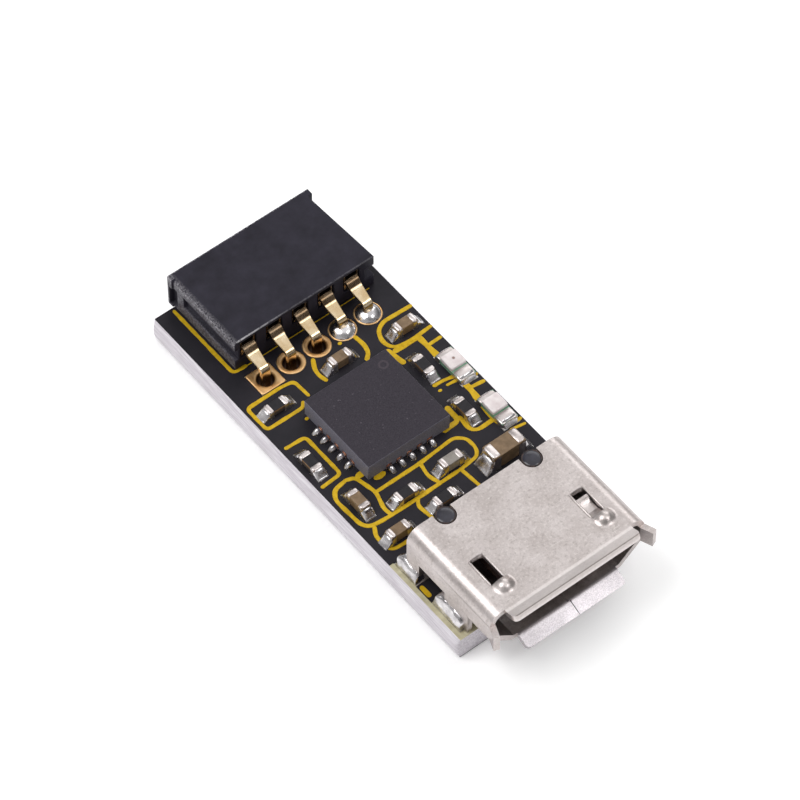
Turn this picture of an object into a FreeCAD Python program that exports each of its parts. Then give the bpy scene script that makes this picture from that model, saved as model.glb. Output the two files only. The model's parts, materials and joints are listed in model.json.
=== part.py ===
import FreeCAD, Part
import math
import os
import re
import Sketcher
from FreeCAD import Placement, Rotation, Vector

# A small USB to serial adapter: a narrow printed board with a micro USB
# socket at the front, a five way socket strip at the back and a row of small
# surface parts between them.
# X is across the board, Y runs from the USB mouth to the socket strip, Z is up.
# The origin is below the middle of the part, on the plane it lies on.

os.makedirs("parts", exist_ok=True)
doc = FreeCAD.newDocument("usb_serial_adapter")
sheet = doc.addObject("Spreadsheet::Sheet", "dims")

# Driving sizes in millimetres
SIZES = {
    # Printed board, with its two coats of solder mask
    "board_length": 19.1,
    "board_width": 8.3,
    "board_thick": 1.2,
    "mask_thick": 0.04,
    "mask_gap": 0.015,
    "score_bulge": 0.17,
    "score_web": 0.4,
    # How far the lips of the USB socket stand out past the front of the board
    "usb_overhang": 1.9,
    # Row of plated holes
    "pin_pitch": 1.27,
    "pin_row_inset": 4.98,
    "pin_row_shift": 0.03,
    "hole_bore": 0.7,
    "plating": 0.03,
    "plating_gap": 0.01,
    "ring_width": 1.16,
    "dome_width": 1.06,
    "dome_height": 0.3,
    # Socket strip
    "tail_run": 1.03,
    "strip_depth": 4.27,
    "strip_height": 1.72,
    "strip_left_margin": 0.66,
    "strip_right_margin": 1.126,
    "strip_right_lean": 0.2,
    "strip_bevel": 0.14,
    "strip_floor": 0.58,
    "cavity_height": 0.6,
    "cavity_width": 0.8,
    "mouth_wall": 0.42,
    "mouth_hole": 0.46,
    "mouth_flare": 0.12,
    "left_channel": 0.18,
    "left_channel_wall": 0.95,
    "right_channel": 0.45,
    "right_channel_wall": 0.4,
    "end_pocket_foot": 0.1,
    "end_pocket_height": 1.05,
    "end_pocket_wall": 0.12,
    "end_pocket_length": 0.4,
    "left_flange": 0.08,
    "right_flange": 0.22,
    "flange_depth": 0.32,
    "rear_notch_height": 0.34,
    "rear_notch_depth": 0.22,
    # Contacts of the socket strip
    "contact_sheet": 0.15,
    "contact_gap": 0.05,
    "tail_width": 0.62,
    "tail_tip_width": 0.42,
    "tail_lead": 0.03,
    "tail_drop_angle": 43,
    "tail_drop_run": 0.27,
    "tail_lean_angle": 18,
    "tail_bend": 0.16,
    "tail_sweep": 0.4,
    "tail_end": 0.12,
    "lug_width": 0.08,
    "lug_height": 0.28,
    "lug_depth": 0.14,
    "contact_base": 1.3,
    "contact_tip_gap": 0.3,
    "contact_wall": 0.38,
    "arm_pinch_inset": 0.65,
    "arm_splay": 0.09,
    "pin_gap": 0.3,
    # Converter chip, a square leadless package
    "chip_shift": -0.35,
    "chip_front": 9.85,
    "chip_size": 4.0,
    "chip_height": 0.87,
    "lead_pitch": 0.5,
    "lead_width": 0.25,
    "lead_length": 0.4,
    "lead_thick": 0.2,
    "lead_solder_reach": 0.3,
    "lead_solder_rise": 0.26,
    "chip_pad": 2.1,
    # Small capacitors and resistors
    "small_length": 1.0,
    "small_width": 0.5,
    "capacitor_height": 0.5,
    "resistor_height": 0.35,
    "small_end": 0.24,
    "small_reach": 0.3,
    "capacitor_rise": 0.3,
    "resistor_rise": 0.245,
    "end_plating": 0.02,
    # Large capacitor
    "large_length": 1.6,
    "large_width": 0.8,
    "large_height": 0.8,
    "large_end": 0.36,
    "large_reach": 0.36,
    "large_rise": 0.48,
    # Lamps
    "lamp_length": 1.6,
    "lamp_width": 0.8,
    "lamp_base_height": 0.24,
    "lamp_height": 0.56,
    "lamp_near_end": 0.6,
    "lamp_far_end": 0.28,
    "lamp_reach": 0.12,
    # Micro USB socket shell, folded from sheet
    "shell_sheet": 0.25,
    "shell_width": 7.5,
    "shell_height": 2.45,
    "shell_crease": 1.0,
    "shell_floor_width": 5.3,
    "shell_bend": 0.62,
    "shell_knee": 0.35,
    "lip_bend": 0.2,
    "lip_corner": 0.2,
    "shell_rear": 3.75,
    "shell_rim": 1.2,
    "top_lip_width": 6.1,
    "top_lip_straight": 0.15,
    "top_lip_angle": 22,
    "floor_lip_width": 4.8,
    "floor_lip_straight": 0.05,
    "floor_lip_angle": 24,
    "side_tab_foot": 1.08,
    "side_tab_height": 0.84,
    "side_tab_length": 0.52,
    "side_tab_angle": 22,
    "window_width": 0.62,
    "window_length": 1.38,
    "window_front": -0.06,
    "window_spread": 4.87,
    "bump_width": 0.74,
    "bump_height": 0.22,
    "bump_shift": 0.08,
    "bump_overlap": 0.11,
    "leaf_gap": 0.05,
    "leaf_sheet": 0.12,
    "leaf_length": 0.9,
    "leaf_dip_front": 0.36,
    "leaf_dip_back": 0.675,
    "leaf_sag": 0.18,
    "post_width": 0.8,
    "post_gap": 0.03,
    "post_spread": 4.18,
    "post_inset": 0.27,
    "post_height": 1.0,
    "rear_leg_front": 3.0,
    "rear_leg_length": 0.75,
    "front_leg_front": 0.12,
    "front_leg_length": 1.35,
    "seam_gap": 0.03,
    "seam_jog": 0.1,
    # Pads and solder that hold the shell
    "shell_pad_margin": 0.2,
    "shell_pad_width": 1.2,
    "rear_pad_front": 2.92,
    "rear_pad_length": 1.32,
    "front_pad_front": 0.29,
    "front_pad_length": 1.68,
    "bare_strip_length": 4.3,
    "bare_corner_width": 1.45,
    "leg_solder_rise": 0.42,
    "leg_solder_reach": 0.18,
    # Moulding inside the shell, its tongue and its five contacts
    "moulding_front": 2.35,
    "moulding_gap": 0.03,
    "tongue_width": 3.7,
    "tongue_thick": 0.6,
    "tongue_floor": 1.22,
    "tongue_front": -0.55,
    "wire_pitch": 0.65,
    "wire_width": 0.24,
    "wire_thick": 0.12,
    "wire_inset": 0.25,
    "wire_gap": 0.05,
    "wire_tail": 0.75,
    "wire_pad_width": 0.36,
    "wire_pad_reach": 0.25,
}
# Two places closer than this count as one when edges are picked
NEAR = 1e-4
# An edge counts as running along an axis from this cosine up
ALONG = 0.99
# Slope of the walls of each lead-in, in degrees
LEAD_IN_TAPER = -45
PIN_COUNT = 5
SOLDERED_PINS = (4, 5)
LEADS_A_SIDE = 5
WIRE_COUNT = 5

# Places of the small parts: the nearest long edge of the board, the way in
# from it, the way back from the front edge, and how the part lies
CAPACITORS = {
    "capacitor_1": ("left", 4.36, 12.9, "across"),
    "capacitor_2": ("left", 0.79, 7.18, "along"),
    "capacitor_3": ("right", 3.58, 6.45, "across"),
    "capacitor_4": ("right", 0.94, 12.62, "across"),
    "capacitor_5": ("left", 1.12, 5.15, "across"),
}
RESISTORS = {
    "resistor_1": ("left", 1.08, 12.7, "across"),
    "resistor_2": ("left", 0.5, 9.78, "along"),
    "resistor_3": ("left", 2.45, 6.38, "across"),
    "resistor_4": ("left", 3.5, 5.3, "across"),
    "resistor_5": ("right", 1.55, 10.68, "along"),
    "resistor_6": ("right", 1.57, 8.1, "along"),
}
LARGE_CAPACITOR = {"storage_capacitor": ("right", 1.68, 5.55, "across")}
LAMPS = {
    "receive_lamp": ("right", 0.52, 9.95, "along"),
    "transmit_lamp": ("right", 0.56, 7.33, "along"),
}
EDGE_OF = {}
for table in (CAPACITORS, RESISTORS, LARGE_CAPACITOR, LAMPS):
    for label, (edge, inward, front, run) in table.items():
        SIZES[label + "_inward"] = inward
        SIZES[label + "_front"] = front
        EDGE_OF[label] = edge

for row, (word, number) in enumerate(SIZES.items(), start=1):
    sheet.set("A%d" % row, str(number))
    sheet.setAlias("A%d" % row, word)
doc.recompute()

# Places that follow from the sizes, as formulas for the sheet
HEADER_OVERHANG = "(tail_run + strip_depth - pin_row_inset)"
FRONT_EDGE = "((usb_overhang - board_length - %s) / 2)" % HEADER_OVERHANG
BACK_EDGE = "(%s + board_length)" % FRONT_EDGE
LEFT_EDGE = "(0 - board_width / 2)"
PAD_FLOOR = "(board_thick - mask_thick)"
TOP = "board_thick"
PIN_ROW = "(%s - pin_row_inset)" % BACK_EDGE
STRIP_BACK = "(%s + tail_run)" % PIN_ROW
STRIP_MOUTH = "(%s + strip_depth)" % STRIP_BACK
PIN_SPAN = "(%d * pin_pitch)" % (PIN_COUNT - 1)
STRIP_LEFT = "(pin_row_shift - %s / 2 - strip_left_margin)" % PIN_SPAN
STRIP_RIGHT = "(pin_row_shift + %s / 2 + strip_right_margin)" % PIN_SPAN
CEILING = "(board_thick + strip_floor + cavity_height)"
SHELL_REAR = "(%s + shell_rear)" % FRONT_EDGE
SHELL_RIM = "(%s - shell_rim)" % FRONT_EDGE
SHELL_TIP = "(%s - usb_overhang)" % FRONT_EDGE
SHELL_TOP = "(board_thick + shell_height)"
FOLD = "atan((shell_width - shell_floor_width) / 2 / shell_crease)"
CREASE = "(board_thick + shell_crease)"

WORDS = re.compile(r"\b(" + "|".join(SIZES) + r")\b")
PARTS = {}


def formula(text):
    """A formula with each size's word turned into its place in the sheet."""
    return WORDS.sub(r"dims.\1", str(text))


def worth(text):
    """The number that a formula gives now."""
    result = sheet.evalExpression(formula(text))
    return float(getattr(result, "Value", result))


def bind(item, **formulas):
    for name, text in formulas.items():
        item.setExpression(name.replace("_", "."), formula(text))


def place(item, x, y, z):
    bind(item, Placement_Base_x=x, Placement_Base_y=y, Placement_Base_z=z)


def block(name, x, y, z, length, width, height):
    """A box with its low corner at x, y, z."""
    item = doc.addObject("Part::Box", name)
    bind(item, Length=length, Width=width, Height=height)
    place(item, x, y, z)
    return item


def middle_block(name, x, y, z, length, width, height):
    """A box with the middle of its foot at x, y, z."""
    low_x = "(%s) - (%s) / 2" % (x, length)
    low_y = "(%s) - (%s) / 2" % (y, width)
    return block(name, low_x, low_y, z, length, width, height)


def rod(name, x, y, z, radius, height):
    """An upright cylinder on a foot at x, y, z."""
    item = doc.addObject("Part::Cylinder", name)
    bind(item, Radius=radius, Height=height)
    place(item, x, y, z)
    return item


def fuse(name, pieces):
    item = doc.addObject("Part::MultiFuse", name)
    item.Shapes = pieces
    return item


def cut(name, base, tools):
    item = doc.addObject("Part::Cut", name)
    item.Base = base
    item.Tool = tools[0] if len(tools) == 1 else fuse(name + "_tools", tools)
    return item


def common(name, first, second):
    item = doc.addObject("Part::Common", name)
    item.Base = first
    item.Tool = second
    return item


def gather(name, pieces):
    """Separate solids that count as one item."""
    item = doc.addObject("Part::Compound", name)
    item.Links = pieces
    return item


def keep(label, item):
    item.Label = label
    PARTS[label] = item


def new_body(name):
    return doc.addObject("PartDesign::Body", name)


def origin_plane(body, role):
    return [item for item in body.Origin.OriginFeatures if item.Role == role][0]


def polygon(body, name, role, corners, offset="0"):
    """A closed outline whose corners are bound to formulas, on an origin plane."""
    item = body.newObject("Sketcher::SketchObject", name)
    item.AttachmentSupport = [(origin_plane(body, role), "")]
    item.MapMode = "FlatFace"
    bind(item, AttachmentOffset_Base_z=offset)
    spots = [Vector(worth(u), worth(v), 0) for u, v in corners]
    count = len(spots)
    for i in range(count):
        item.addGeometry(Part.LineSegment(spots[i], spots[(i + 1) % count]), False)
    for i in range(count):
        item.addConstraint(Sketcher.Constraint("Coincident", i, 2, (i + 1) % count, 1))
    for i, (u, v) in enumerate(corners):
        across = item.addConstraint(Sketcher.Constraint("DistanceX", -1, 1, i, 1, spots[i].x))
        item.setExpression("Constraints[%d]" % across, formula(u))
        upward = item.addConstraint(Sketcher.Constraint("DistanceY", -1, 1, i, 1, spots[i].y))
        item.setExpression("Constraints[%d]" % upward, formula(v))
    return item


def circle(body, name, role, u, v, radius, offset="0"):
    """A circle whose middle and radius are bound to formulas."""
    item = body.newObject("Sketcher::SketchObject", name)
    item.AttachmentSupport = [(origin_plane(body, role), "")]
    item.MapMode = "FlatFace"
    bind(item, AttachmentOffset_Base_z=offset)
    middle = Vector(worth(u), worth(v), 0)
    item.addGeometry(Part.Circle(middle, Vector(0, 0, 1), worth(radius)), False)
    rules = (
        (Sketcher.Constraint("DistanceX", -1, 1, 0, 3, middle.x), u),
        (Sketcher.Constraint("DistanceY", -1, 1, 0, 3, middle.y), v),
        (Sketcher.Constraint("Radius", 0, worth(radius)), radius),
    )
    for rule, text in rules:
        index = item.addConstraint(rule)
        item.setExpression("Constraints[%d]" % index, formula(text))
    return item


def pad(body, name, sketch, length, back=False):
    item = body.newObject("PartDesign::Pad", name)
    item.Profile = sketch
    item.Reversed = back
    bind(item, Length=length)
    return item


def pocket(body, name, sketch, depth, back=False):
    item = body.newObject("PartDesign::Pocket", name)
    item.Profile = sketch
    item.Reversed = back
    bind(item, Length=depth)
    return item


def edge_names(base, wanted):
    """The edges of base whose middles pass the test."""
    doc.recompute()
    return [
        "Edge%d" % index for index, edge in enumerate(base.Shape.Edges, start=1)
        if wanted(edge.CenterOfMass, edge)]


def round_edges(body, name, base, radius, wanted):
    """A fillet on some edges of base."""
    names = edge_names(base, wanted)
    item = body.newObject("PartDesign::Fillet", name)
    item.Base = (base, names)
    bind(item, Radius=radius)
    return item


def bevel_edges(body, name, base, size, wanted):
    """A chamfer on some edges of base."""
    names = edge_names(base, wanted)
    item = body.newObject("PartDesign::Chamfer", name)
    item.Base = (base, names)
    bind(item, Size=size)
    return item


def upright(edge):
    return abs(edge.tangentAt(edge.FirstParameter).z) > ALONG


def bend_test(y, z):
    """Picks the edges across the part at a place along it and a height."""
    spot_y = worth(y)
    spot_z = worth(z)
    return lambda centre, edge: abs(centre.y - spot_y) < NEAR and abs(centre.z - spot_z) < NEAR


def mirror_x(body, name, features):
    """The same features again on the other side of the middle."""
    item = body.newObject("PartDesign::Mirrored", name)
    item.Originals = features
    item.MirrorPlane = (origin_plane(body, "YZ_Plane"), [""])
    body.Tip = item
    return item


# Pads of copper lie level with the mask, each in a window of its own
copper = {"component_pads": [], "shell_pads": []}
mask_windows = []


def copper_pad(group, name, x, y, length, width):
    """A pad with its middle at x, y, and the window in the mask round it."""
    copper[group].append(middle_block(name, x, y, PAD_FLOOR, length, width, "mask_thick"))
    wide = "(%s) + 2 * mask_gap" % length
    deep = "(%s) + 2 * mask_gap" % width
    mask_windows.append(middle_block(name + "_window", x, y, PAD_FLOOR, wide, deep, "mask_thick"))


def pin_x(number):
    return "(pin_row_shift + (%d) * pin_pitch)" % (number - (PIN_COUNT + 1) // 2)


# Printed board: its long edges are snapped off along V grooves, so they bulge
def make_board():
    body = new_body("board_body")
    side = "board_width / 2"
    outer = "(board_width / 2 + score_bulge)"
    low = "board_thick / 2 - score_web / 2"
    high = "board_thick / 2 + score_web / 2"
    section = [
        ("0 - " + side, "mask_thick"),
        (side, "mask_thick"),
        (outer, low),
        (outer, high),
        (side, PAD_FLOOR),
        ("0 - " + side, PAD_FLOOR),
        ("0 - " + outer, high),
        ("0 - " + outer, low),
    ]
    outline = polygon(body, "board_section", "XZ_Plane", section, "0 - " + BACK_EDGE)
    pad(body, "board_slab", outline, "board_length")
    bore_radius = "hole_bore / 2 + plating + plating_gap"
    drill = circle(body, "board_drill", "XY_Plane", pin_x(1), PIN_ROW, bore_radius)
    bore = pocket(body, "board_bore", drill, "board_thick", back=True)
    doc.recompute()
    row = body.newObject("PartDesign::LinearPattern", "board_bores")
    row.Originals = [bore]
    row.Direction = (drill, ["H_Axis"])
    row.Occurrences = PIN_COUNT
    bind(row, Length=PIN_SPAN)
    body.Tip = row
    rim = new_body("board_rim_body")
    corners = [
        ("0 - " + outer, FRONT_EDGE),
        (outer, FRONT_EDGE),
        (outer, BACK_EDGE),
        ("0 - " + outer, BACK_EDGE),
    ]
    plan = pad(rim, "board_rim", polygon(rim, "board_plan", "XY_Plane", corners), "board_thick")
    round_edges(rim, "board_corners", plan, "score_bulge", lambda centre, edge: upright(edge))
    keep("circuit_board", common("board_core", body, rim))


# Plated holes: the first has square pads, the others round ones
def make_plated_hole(number):
    name = "plated_hole_%d" % number
    x = pin_x(number)
    levels = {"foot": "0", "head": PAD_FLOOR}
    pieces = [rod(name + "_barrel", x, PIN_ROW, 0, "hole_bore / 2 + plating", "board_thick")]
    for level, z in levels.items():
        if number == 1:
            ring = middle_block(name + level, x, PIN_ROW, z, "ring_width", "ring_width", "mask_thick")
        else:
            ring = rod(name + level, x, PIN_ROW, z, "ring_width / 2", "mask_thick")
        pieces.append(ring)
    bore = rod(name + "_bore", x, PIN_ROW, 0, "hole_bore / 2", "board_thick")
    keep(name, cut(name + "_solid", fuse(name + "_metal", pieces), [bore]))


def ring_windows(z, group):
    """Windows in one coat of mask for the rings of the plated holes."""
    windows = []
    for number in range(1, PIN_COUNT + 1):
        name = "%s_ring_window_%d" % (group, number)
        if number == 1:
            wide = "ring_width + 2 * mask_gap"
            windows.append(middle_block(name, pin_x(1), PIN_ROW, z, wide, wide, "mask_thick"))
        else:
            radius = "ring_width / 2 + mask_gap"
            windows.append(rod(name, pin_x(number), PIN_ROW, z, radius, "mask_thick"))
    return windows


def make_masks():
    sizes = ("board_width", "board_length", "mask_thick")
    top = block("mask_top_sheet", LEFT_EDGE, FRONT_EDGE, PAD_FLOOR, *sizes)
    keep("solder_mask_top", cut("mask_top", top, mask_windows + ring_windows(PAD_FLOOR, "top")))
    low = block("mask_low_sheet", LEFT_EDGE, FRONT_EDGE, 0, *sizes)
    keep("solder_mask_bottom", cut("mask_low", low, ring_windows(0, "low")))


# Socket strip: a moulding cut from a longer strip, so each end shows part of
# the channel of the position that was cut away
def make_strip_housing():
    floor = "(board_thick + strip_floor)"
    tools = []
    for number in range(1, PIN_COUNT + 1):
        name = "cavity_%d" % number
        low_x = "%s - cavity_width / 2" % pin_x(number)
        deep = "(strip_depth - mouth_wall)"
        tools.append(block(name, low_x, STRIP_BACK, floor, "cavity_width", deep, "cavity_height"))
        tools.append(block(
            name + "_notch", low_x, STRIP_BACK, CEILING, "cavity_width", "rear_notch_depth",
            "rear_notch_height"))
        hole_x = "%s - mouth_hole / 2" % pin_x(number)
        hole_y = "(%s - mouth_wall)" % STRIP_MOUTH
        hole_z = "(%s + cavity_height / 2 - mouth_hole / 2)" % floor
        tools.append(block(
            name + "_mouth", hole_x, hole_y, hole_z, "mouth_hole", "mouth_wall", "mouth_hole"))
        tools.append(lead_in(number))
    left_deep = "(strip_depth - left_channel_wall)"
    tools.append(block(
        "left_end_channel", STRIP_LEFT, STRIP_BACK, floor, "left_channel", left_deep, "cavity_height"))
    right_x = "(%s - right_channel)" % STRIP_RIGHT
    right_deep = "(strip_depth - right_channel_wall)"
    tools.append(block(
        "right_end_channel", right_x, STRIP_BACK, floor, "right_channel", right_deep, "cavity_height"))
    tools.append(block(
        "left_end_pocket", "(%s - left_flange)" % STRIP_LEFT,
        "(%s - end_pocket_wall - end_pocket_length)" % STRIP_MOUTH, "(board_thick + end_pocket_foot)",
        "(left_flange + left_channel)", "end_pocket_length", "end_pocket_height"))
    keep("header_housing", cut("strip_moulding", strip_block(), tools))


def strip_block():
    """The strip before its cavities, with a rim round its mouth face."""
    body = new_body("strip_body")
    rim = "(%s - flange_depth)" % STRIP_MOUTH
    lean = "(%s - strip_right_lean)" % STRIP_RIGHT
    plan = [
        (STRIP_LEFT, STRIP_BACK),
        (STRIP_RIGHT, STRIP_BACK),
        (lean, rim),
        ("(%s + right_flange)" % lean, rim),
        ("(%s + right_flange)" % lean, STRIP_MOUTH),
        ("(%s - left_flange)" % STRIP_LEFT, STRIP_MOUTH),
        ("(%s - left_flange)" % STRIP_LEFT, rim),
        (STRIP_LEFT, rim),
    ]
    whole = pad(body, "strip_block", polygon(body, "strip_plan", "XY_Plane", plan, TOP), "strip_height")
    left = worth(STRIP_LEFT)
    top = worth("board_thick + strip_height")
    bevel_edges(
        body, "strip_cut_edge", whole, "strip_bevel",
        lambda centre, edge: abs(centre.x - left) < NEAR and abs(centre.z - top) < NEAR)
    return body


def lead_in(number):
    """The tapered mouth of one cavity, narrowing towards the contact."""
    body = new_body("lead_in_%d" % number)
    middle_z = "(board_thick + strip_floor + cavity_height / 2)"
    half = "(mouth_hole / 2 + mouth_flare)"
    square = []
    for across, upward in ((-1, -1), (1, -1), (1, 1), (-1, 1)):
        corner_x = "%s + (%d) * %s" % (pin_x(number), across, half)
        corner_z = "%s + (%d) * %s" % (middle_z, upward, half)
        square.append((corner_x, corner_z))
    outline = polygon(body, "lead_in_outline_%d" % number, "XZ_Plane", square, "0 - " + STRIP_MOUTH)
    taper = pad(body, "lead_in_taper_%d" % number, outline, "mouth_flare")
    taper.TaperAngle = LEAD_IN_TAPER
    return body


# Contact of the socket strip: a plate with two spring arms, two lugs and a tail
# that drops in two slopes before it turns down into its hole
def tail_corners():
    """Side view of the tail, its upper side first."""
    drop = "(tail_drop_angle * 1 deg)"
    lean = "(tail_lean_angle * 1 deg)"
    brink_y = "(%s - tail_lead)" % STRIP_BACK
    step_y = "(%s - tail_drop_run)" % brink_y
    step_z = "(%s - tail_drop_run * tan%s)" % (CEILING, drop)
    outer_y = "(%s - contact_sheet / 2)" % PIN_ROW
    inner_y = "(%s + contact_sheet / 2)" % PIN_ROW
    half_turn = "((tail_drop_angle + tail_lean_angle) * 0.5 deg)"
    half_change = "((tail_drop_angle - tail_lean_angle) * 0.5 deg)"
    under_y = "(%s + contact_sheet * sin%s / cos%s)" % (step_y, half_turn, half_change)

    def under_z(y):
        return "(%s + (%s - %s) * tan%s - contact_sheet / cos%s)" % (step_z, y, step_y, lean, lean)

    return {
        "brink": (brink_y, CEILING),
        "step": (step_y, step_z),
        "turn": (outer_y, "(%s - (%s - %s) * tan%s)" % (step_z, step_y, outer_y, lean)),
        "foot": (outer_y, "tail_end"),
        "back_foot": (inner_y, "tail_end"),
        "back_turn": (inner_y, under_z(inner_y)),
        "back_step": (under_y, under_z(under_y)),
        "back_brink": (
            "(%s + contact_sheet * tan(tail_drop_angle * 0.5 deg))" % brink_y,
            "(%s - contact_sheet)" % CEILING),
    }


def make_strip_contact(number):
    name = "header_contact_%d" % number
    body = new_body(name + "_body")
    base_rear = "(%s + contact_gap)" % STRIP_BACK
    base_front = "(%s + contact_base)" % STRIP_BACK
    low = "(%s - contact_sheet)" % CEILING
    corners = tail_corners()
    strip = [(base_front, CEILING)] + list(corners.values()) + [(base_front, low)]
    outline = polygon(body, name + "_strip", "YZ_Plane", strip, "0 - tail_width / 2")
    tail = pad(body, name + "_tail", outline, "tail_width")
    bends = (
        ("brink", "tail_bend + contact_sheet"),
        ("back_brink", "tail_bend"),
        ("step", "tail_sweep"),
        ("back_step", "tail_sweep + contact_sheet"),
        ("turn", "tail_bend + contact_sheet"),
        ("back_turn", "tail_bend"),
    )
    for corner, radius in bends:
        wanted = bend_test(*corners[corner])
        tail = round_edges(body, "%s_%s_bend" % (name, corner), tail, radius, wanted)
    side = [
        ("tail_tip_width / 2", "%s - contact_sheet" % PIN_ROW),
        ("tail_width", "%s - contact_sheet" % PIN_ROW),
        ("tail_width", STRIP_BACK),
        ("tail_width / 2", STRIP_BACK),
        ("tail_tip_width / 2", "%s + contact_sheet" % PIN_ROW),
    ]
    taper_outline = polygon(body, name + "_taper_outline", "XY_Plane", side, CEILING)
    taper = pocket(body, name + "_taper", taper_outline, CEILING)
    half = "(cavity_width / 2 - contact_gap)"
    plate = [
        ("0 - " + half, base_rear),
        (half, base_rear),
        (half, base_front),
        ("0 - " + half, base_front),
    ]
    plate_outline = polygon(body, name + "_plate_outline", "XY_Plane", plate, low)
    pad(body, name + "_plate", plate_outline, "contact_sheet")
    tip = "(%s - mouth_wall - contact_tip_gap)" % STRIP_MOUTH
    arm = [
        (half, base_rear),
        (half, base_front),
        ("pin_gap / 2 + contact_sheet", "%s - arm_pinch_inset" % tip),
        ("pin_gap / 2 + contact_sheet + arm_splay", tip),
        ("pin_gap / 2 + arm_splay", tip),
        ("pin_gap / 2", "%s - arm_pinch_inset" % tip),
        ("%s - contact_sheet" % half, base_front),
        ("%s - contact_sheet" % half, base_rear),
    ]
    outline = polygon(body, name + "_arm_outline", "XY_Plane", arm, "%s - contact_wall" % low)
    spring = pad(body, name + "_arm", outline, "contact_wall")
    foot = [
        ("%s - lug_width" % half, base_rear),
        (half, base_rear),
        (half, "%s + lug_depth" % base_rear),
        ("%s - lug_width" % half, "%s + lug_depth" % base_rear),
    ]
    lug_outline = polygon(body, name + "_lug_outline", "XY_Plane", foot, low)
    lug = pad(body, name + "_lug", lug_outline, "contact_sheet + lug_height")
    mirror_x(body, name + "_pair", [taper, spring, lug])
    bind(body, Placement_Base_x=pin_x(number))
    keep(name, body)


# Solder dome on one of the two ground and supply holes
def make_dome(number):
    name = "header_solder_%d" % number
    span = worth("dome_width / 2")
    rise = worth("dome_height")
    ball_radius = (span ** 2 + rise ** 2) / (2 * rise)
    profile = Part.Wire([
        Part.LineSegment(Vector(0, 0, 0), Vector(span, 0, 0)).toShape(),
        Part.Arc(
            Vector(span, 0, 0),
            Vector(ball_radius * math.sin(0.5 * math.asin(span / ball_radius)), 0,
                   rise - ball_radius + ball_radius * math.cos(0.5 * math.asin(span / ball_radius))),
            Vector(0, 0, rise)).toShape(),
        Part.LineSegment(Vector(0, 0, rise), Vector(0, 0, 0)).toShape(),
    ])
    cap = Part.Face(profile).revolve(Vector(0, 0, 0), Vector(0, 0, 1), 360)
    dome = doc.addObject("Part::Feature", name + "_cap")
    dome.Shape = cap
    place(dome, pin_x(number), PIN_ROW, TOP)
    plug_radius = "hole_bore / 2 - plating_gap"
    plug = rod(name + "_plug", pin_x(number), PIN_ROW, "tail_end", plug_radius, "board_thick - tail_end")
    metal = fuse(name + "_metal", [dome, plug])
    keep(name, cut(name + "_solid", metal, [PARTS["header_contact_%d" % number]]))


# Converter chip: a black moulding over a frame of copper leads
CHIP_X = "chip_shift"
CHIP_Y = "(%s + chip_front)" % FRONT_EDGE
LEAD_SIDES = ((1, 0), (0, 1), (-1, 0), (0, -1))
# Where the middle of a fillet of solder lies between its foot and its edges: a
# half would be a straight slope
SOLDER_HOLLOW = 0.46
solder = {"component_solder": [], "usb_shell_solder": []}


def make_chip():
    leads = [middle_block("chip_paddle", CHIP_X, CHIP_Y, TOP, "chip_pad", "chip_pad", "lead_thick")]
    reach = "(chip_size / 2 - lead_length / 2)"
    pad_length = "(lead_length + lead_solder_reach)"
    pad_reach = "(chip_size / 2 - lead_length / 2 + lead_solder_reach / 2)"
    for side, (out_x, out_y) in enumerate(LEAD_SIDES):
        for step in range(LEADS_A_SIDE):
            shift = "(%d) * lead_pitch" % (step - LEADS_A_SIDE // 2)
            x = "%s + (%d) * %s + (%d) * %s" % (CHIP_X, out_x, reach, out_y, shift)
            y = "%s + (%d) * %s + (%d) * %s" % (CHIP_Y, out_y, reach, out_x, shift)
            wide, deep = ("lead_length", "lead_width") if out_x else ("lead_width", "lead_length")
            name = "chip_lead_%d_%d" % (side, step)
            leads.append(middle_block(name, x, y, TOP, wide, deep, "lead_thick"))
            x = "%s + (%d) * %s + (%d) * %s" % (CHIP_X, out_x, pad_reach, out_y, shift)
            y = "%s + (%d) * %s + (%d) * %s" % (CHIP_Y, out_y, pad_reach, out_x, shift)
            wide, deep = (pad_length, "lead_width") if out_x else ("lead_width", pad_length)
            copper_pad("component_pads", name + "_pad", x, y, wide, deep)
            edge_x = "%s + (%d) * chip_size / 2 + (%d) * %s" % (CHIP_X, out_x, out_y, shift)
            edge_y = "%s + (%d) * chip_size / 2 + (%d) * %s" % (CHIP_Y, out_y, out_x, shift)
            fillet_of_solder(
                "component_solder", name + "_solder", edge_x, edge_y, (out_x, out_y),
                "lead_solder_reach", "lead_solder_rise", "lead_width")
    frame = gather("chip_lead_frame", leads)
    whole = middle_block("chip_block", CHIP_X, CHIP_Y, TOP, "chip_size", "chip_size", "chip_height")
    keep("chip_leads", frame)
    keep("converter_chip", cut("chip_moulding", whole, [frame]))


def fillet_of_solder(group, name, x, y, outward, reach, rise, width):
    """A slightly hollow wedge of solder from the foot of a terminal out along its pad."""
    out = worth(reach)
    up = worth(rise)
    half = worth(width) / 2
    wire = Part.Wire([
        Part.LineSegment(Vector(0, -half, 0), Vector(out, -half, 0)).toShape(),
        Part.Arc(
            Vector(out, -half, 0),
            Vector(SOLDER_HOLLOW * out, -half, SOLDER_HOLLOW * up),
            Vector(0, -half, up)).toShape(),
        Part.LineSegment(Vector(0, -half, up), Vector(0, -half, 0)).toShape(),
    ])
    item = doc.addObject("Part::Feature", name)
    item.Shape = Part.Face(wire).extrude(Vector(0, 2 * half, 0))
    angle = math.degrees(math.atan2(outward[1], outward[0]))
    item.Placement = Placement(Vector(0, 0, 0), Rotation(Vector(0, 0, 1), angle))
    place(item, x, y, TOP)
    solder[group].append(item)


# A small part lies across the board or along it: its long and short sides
def spread(run, long_size, short_size):
    if run == "across":
        return long_size, short_size
    return short_size, long_size


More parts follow.
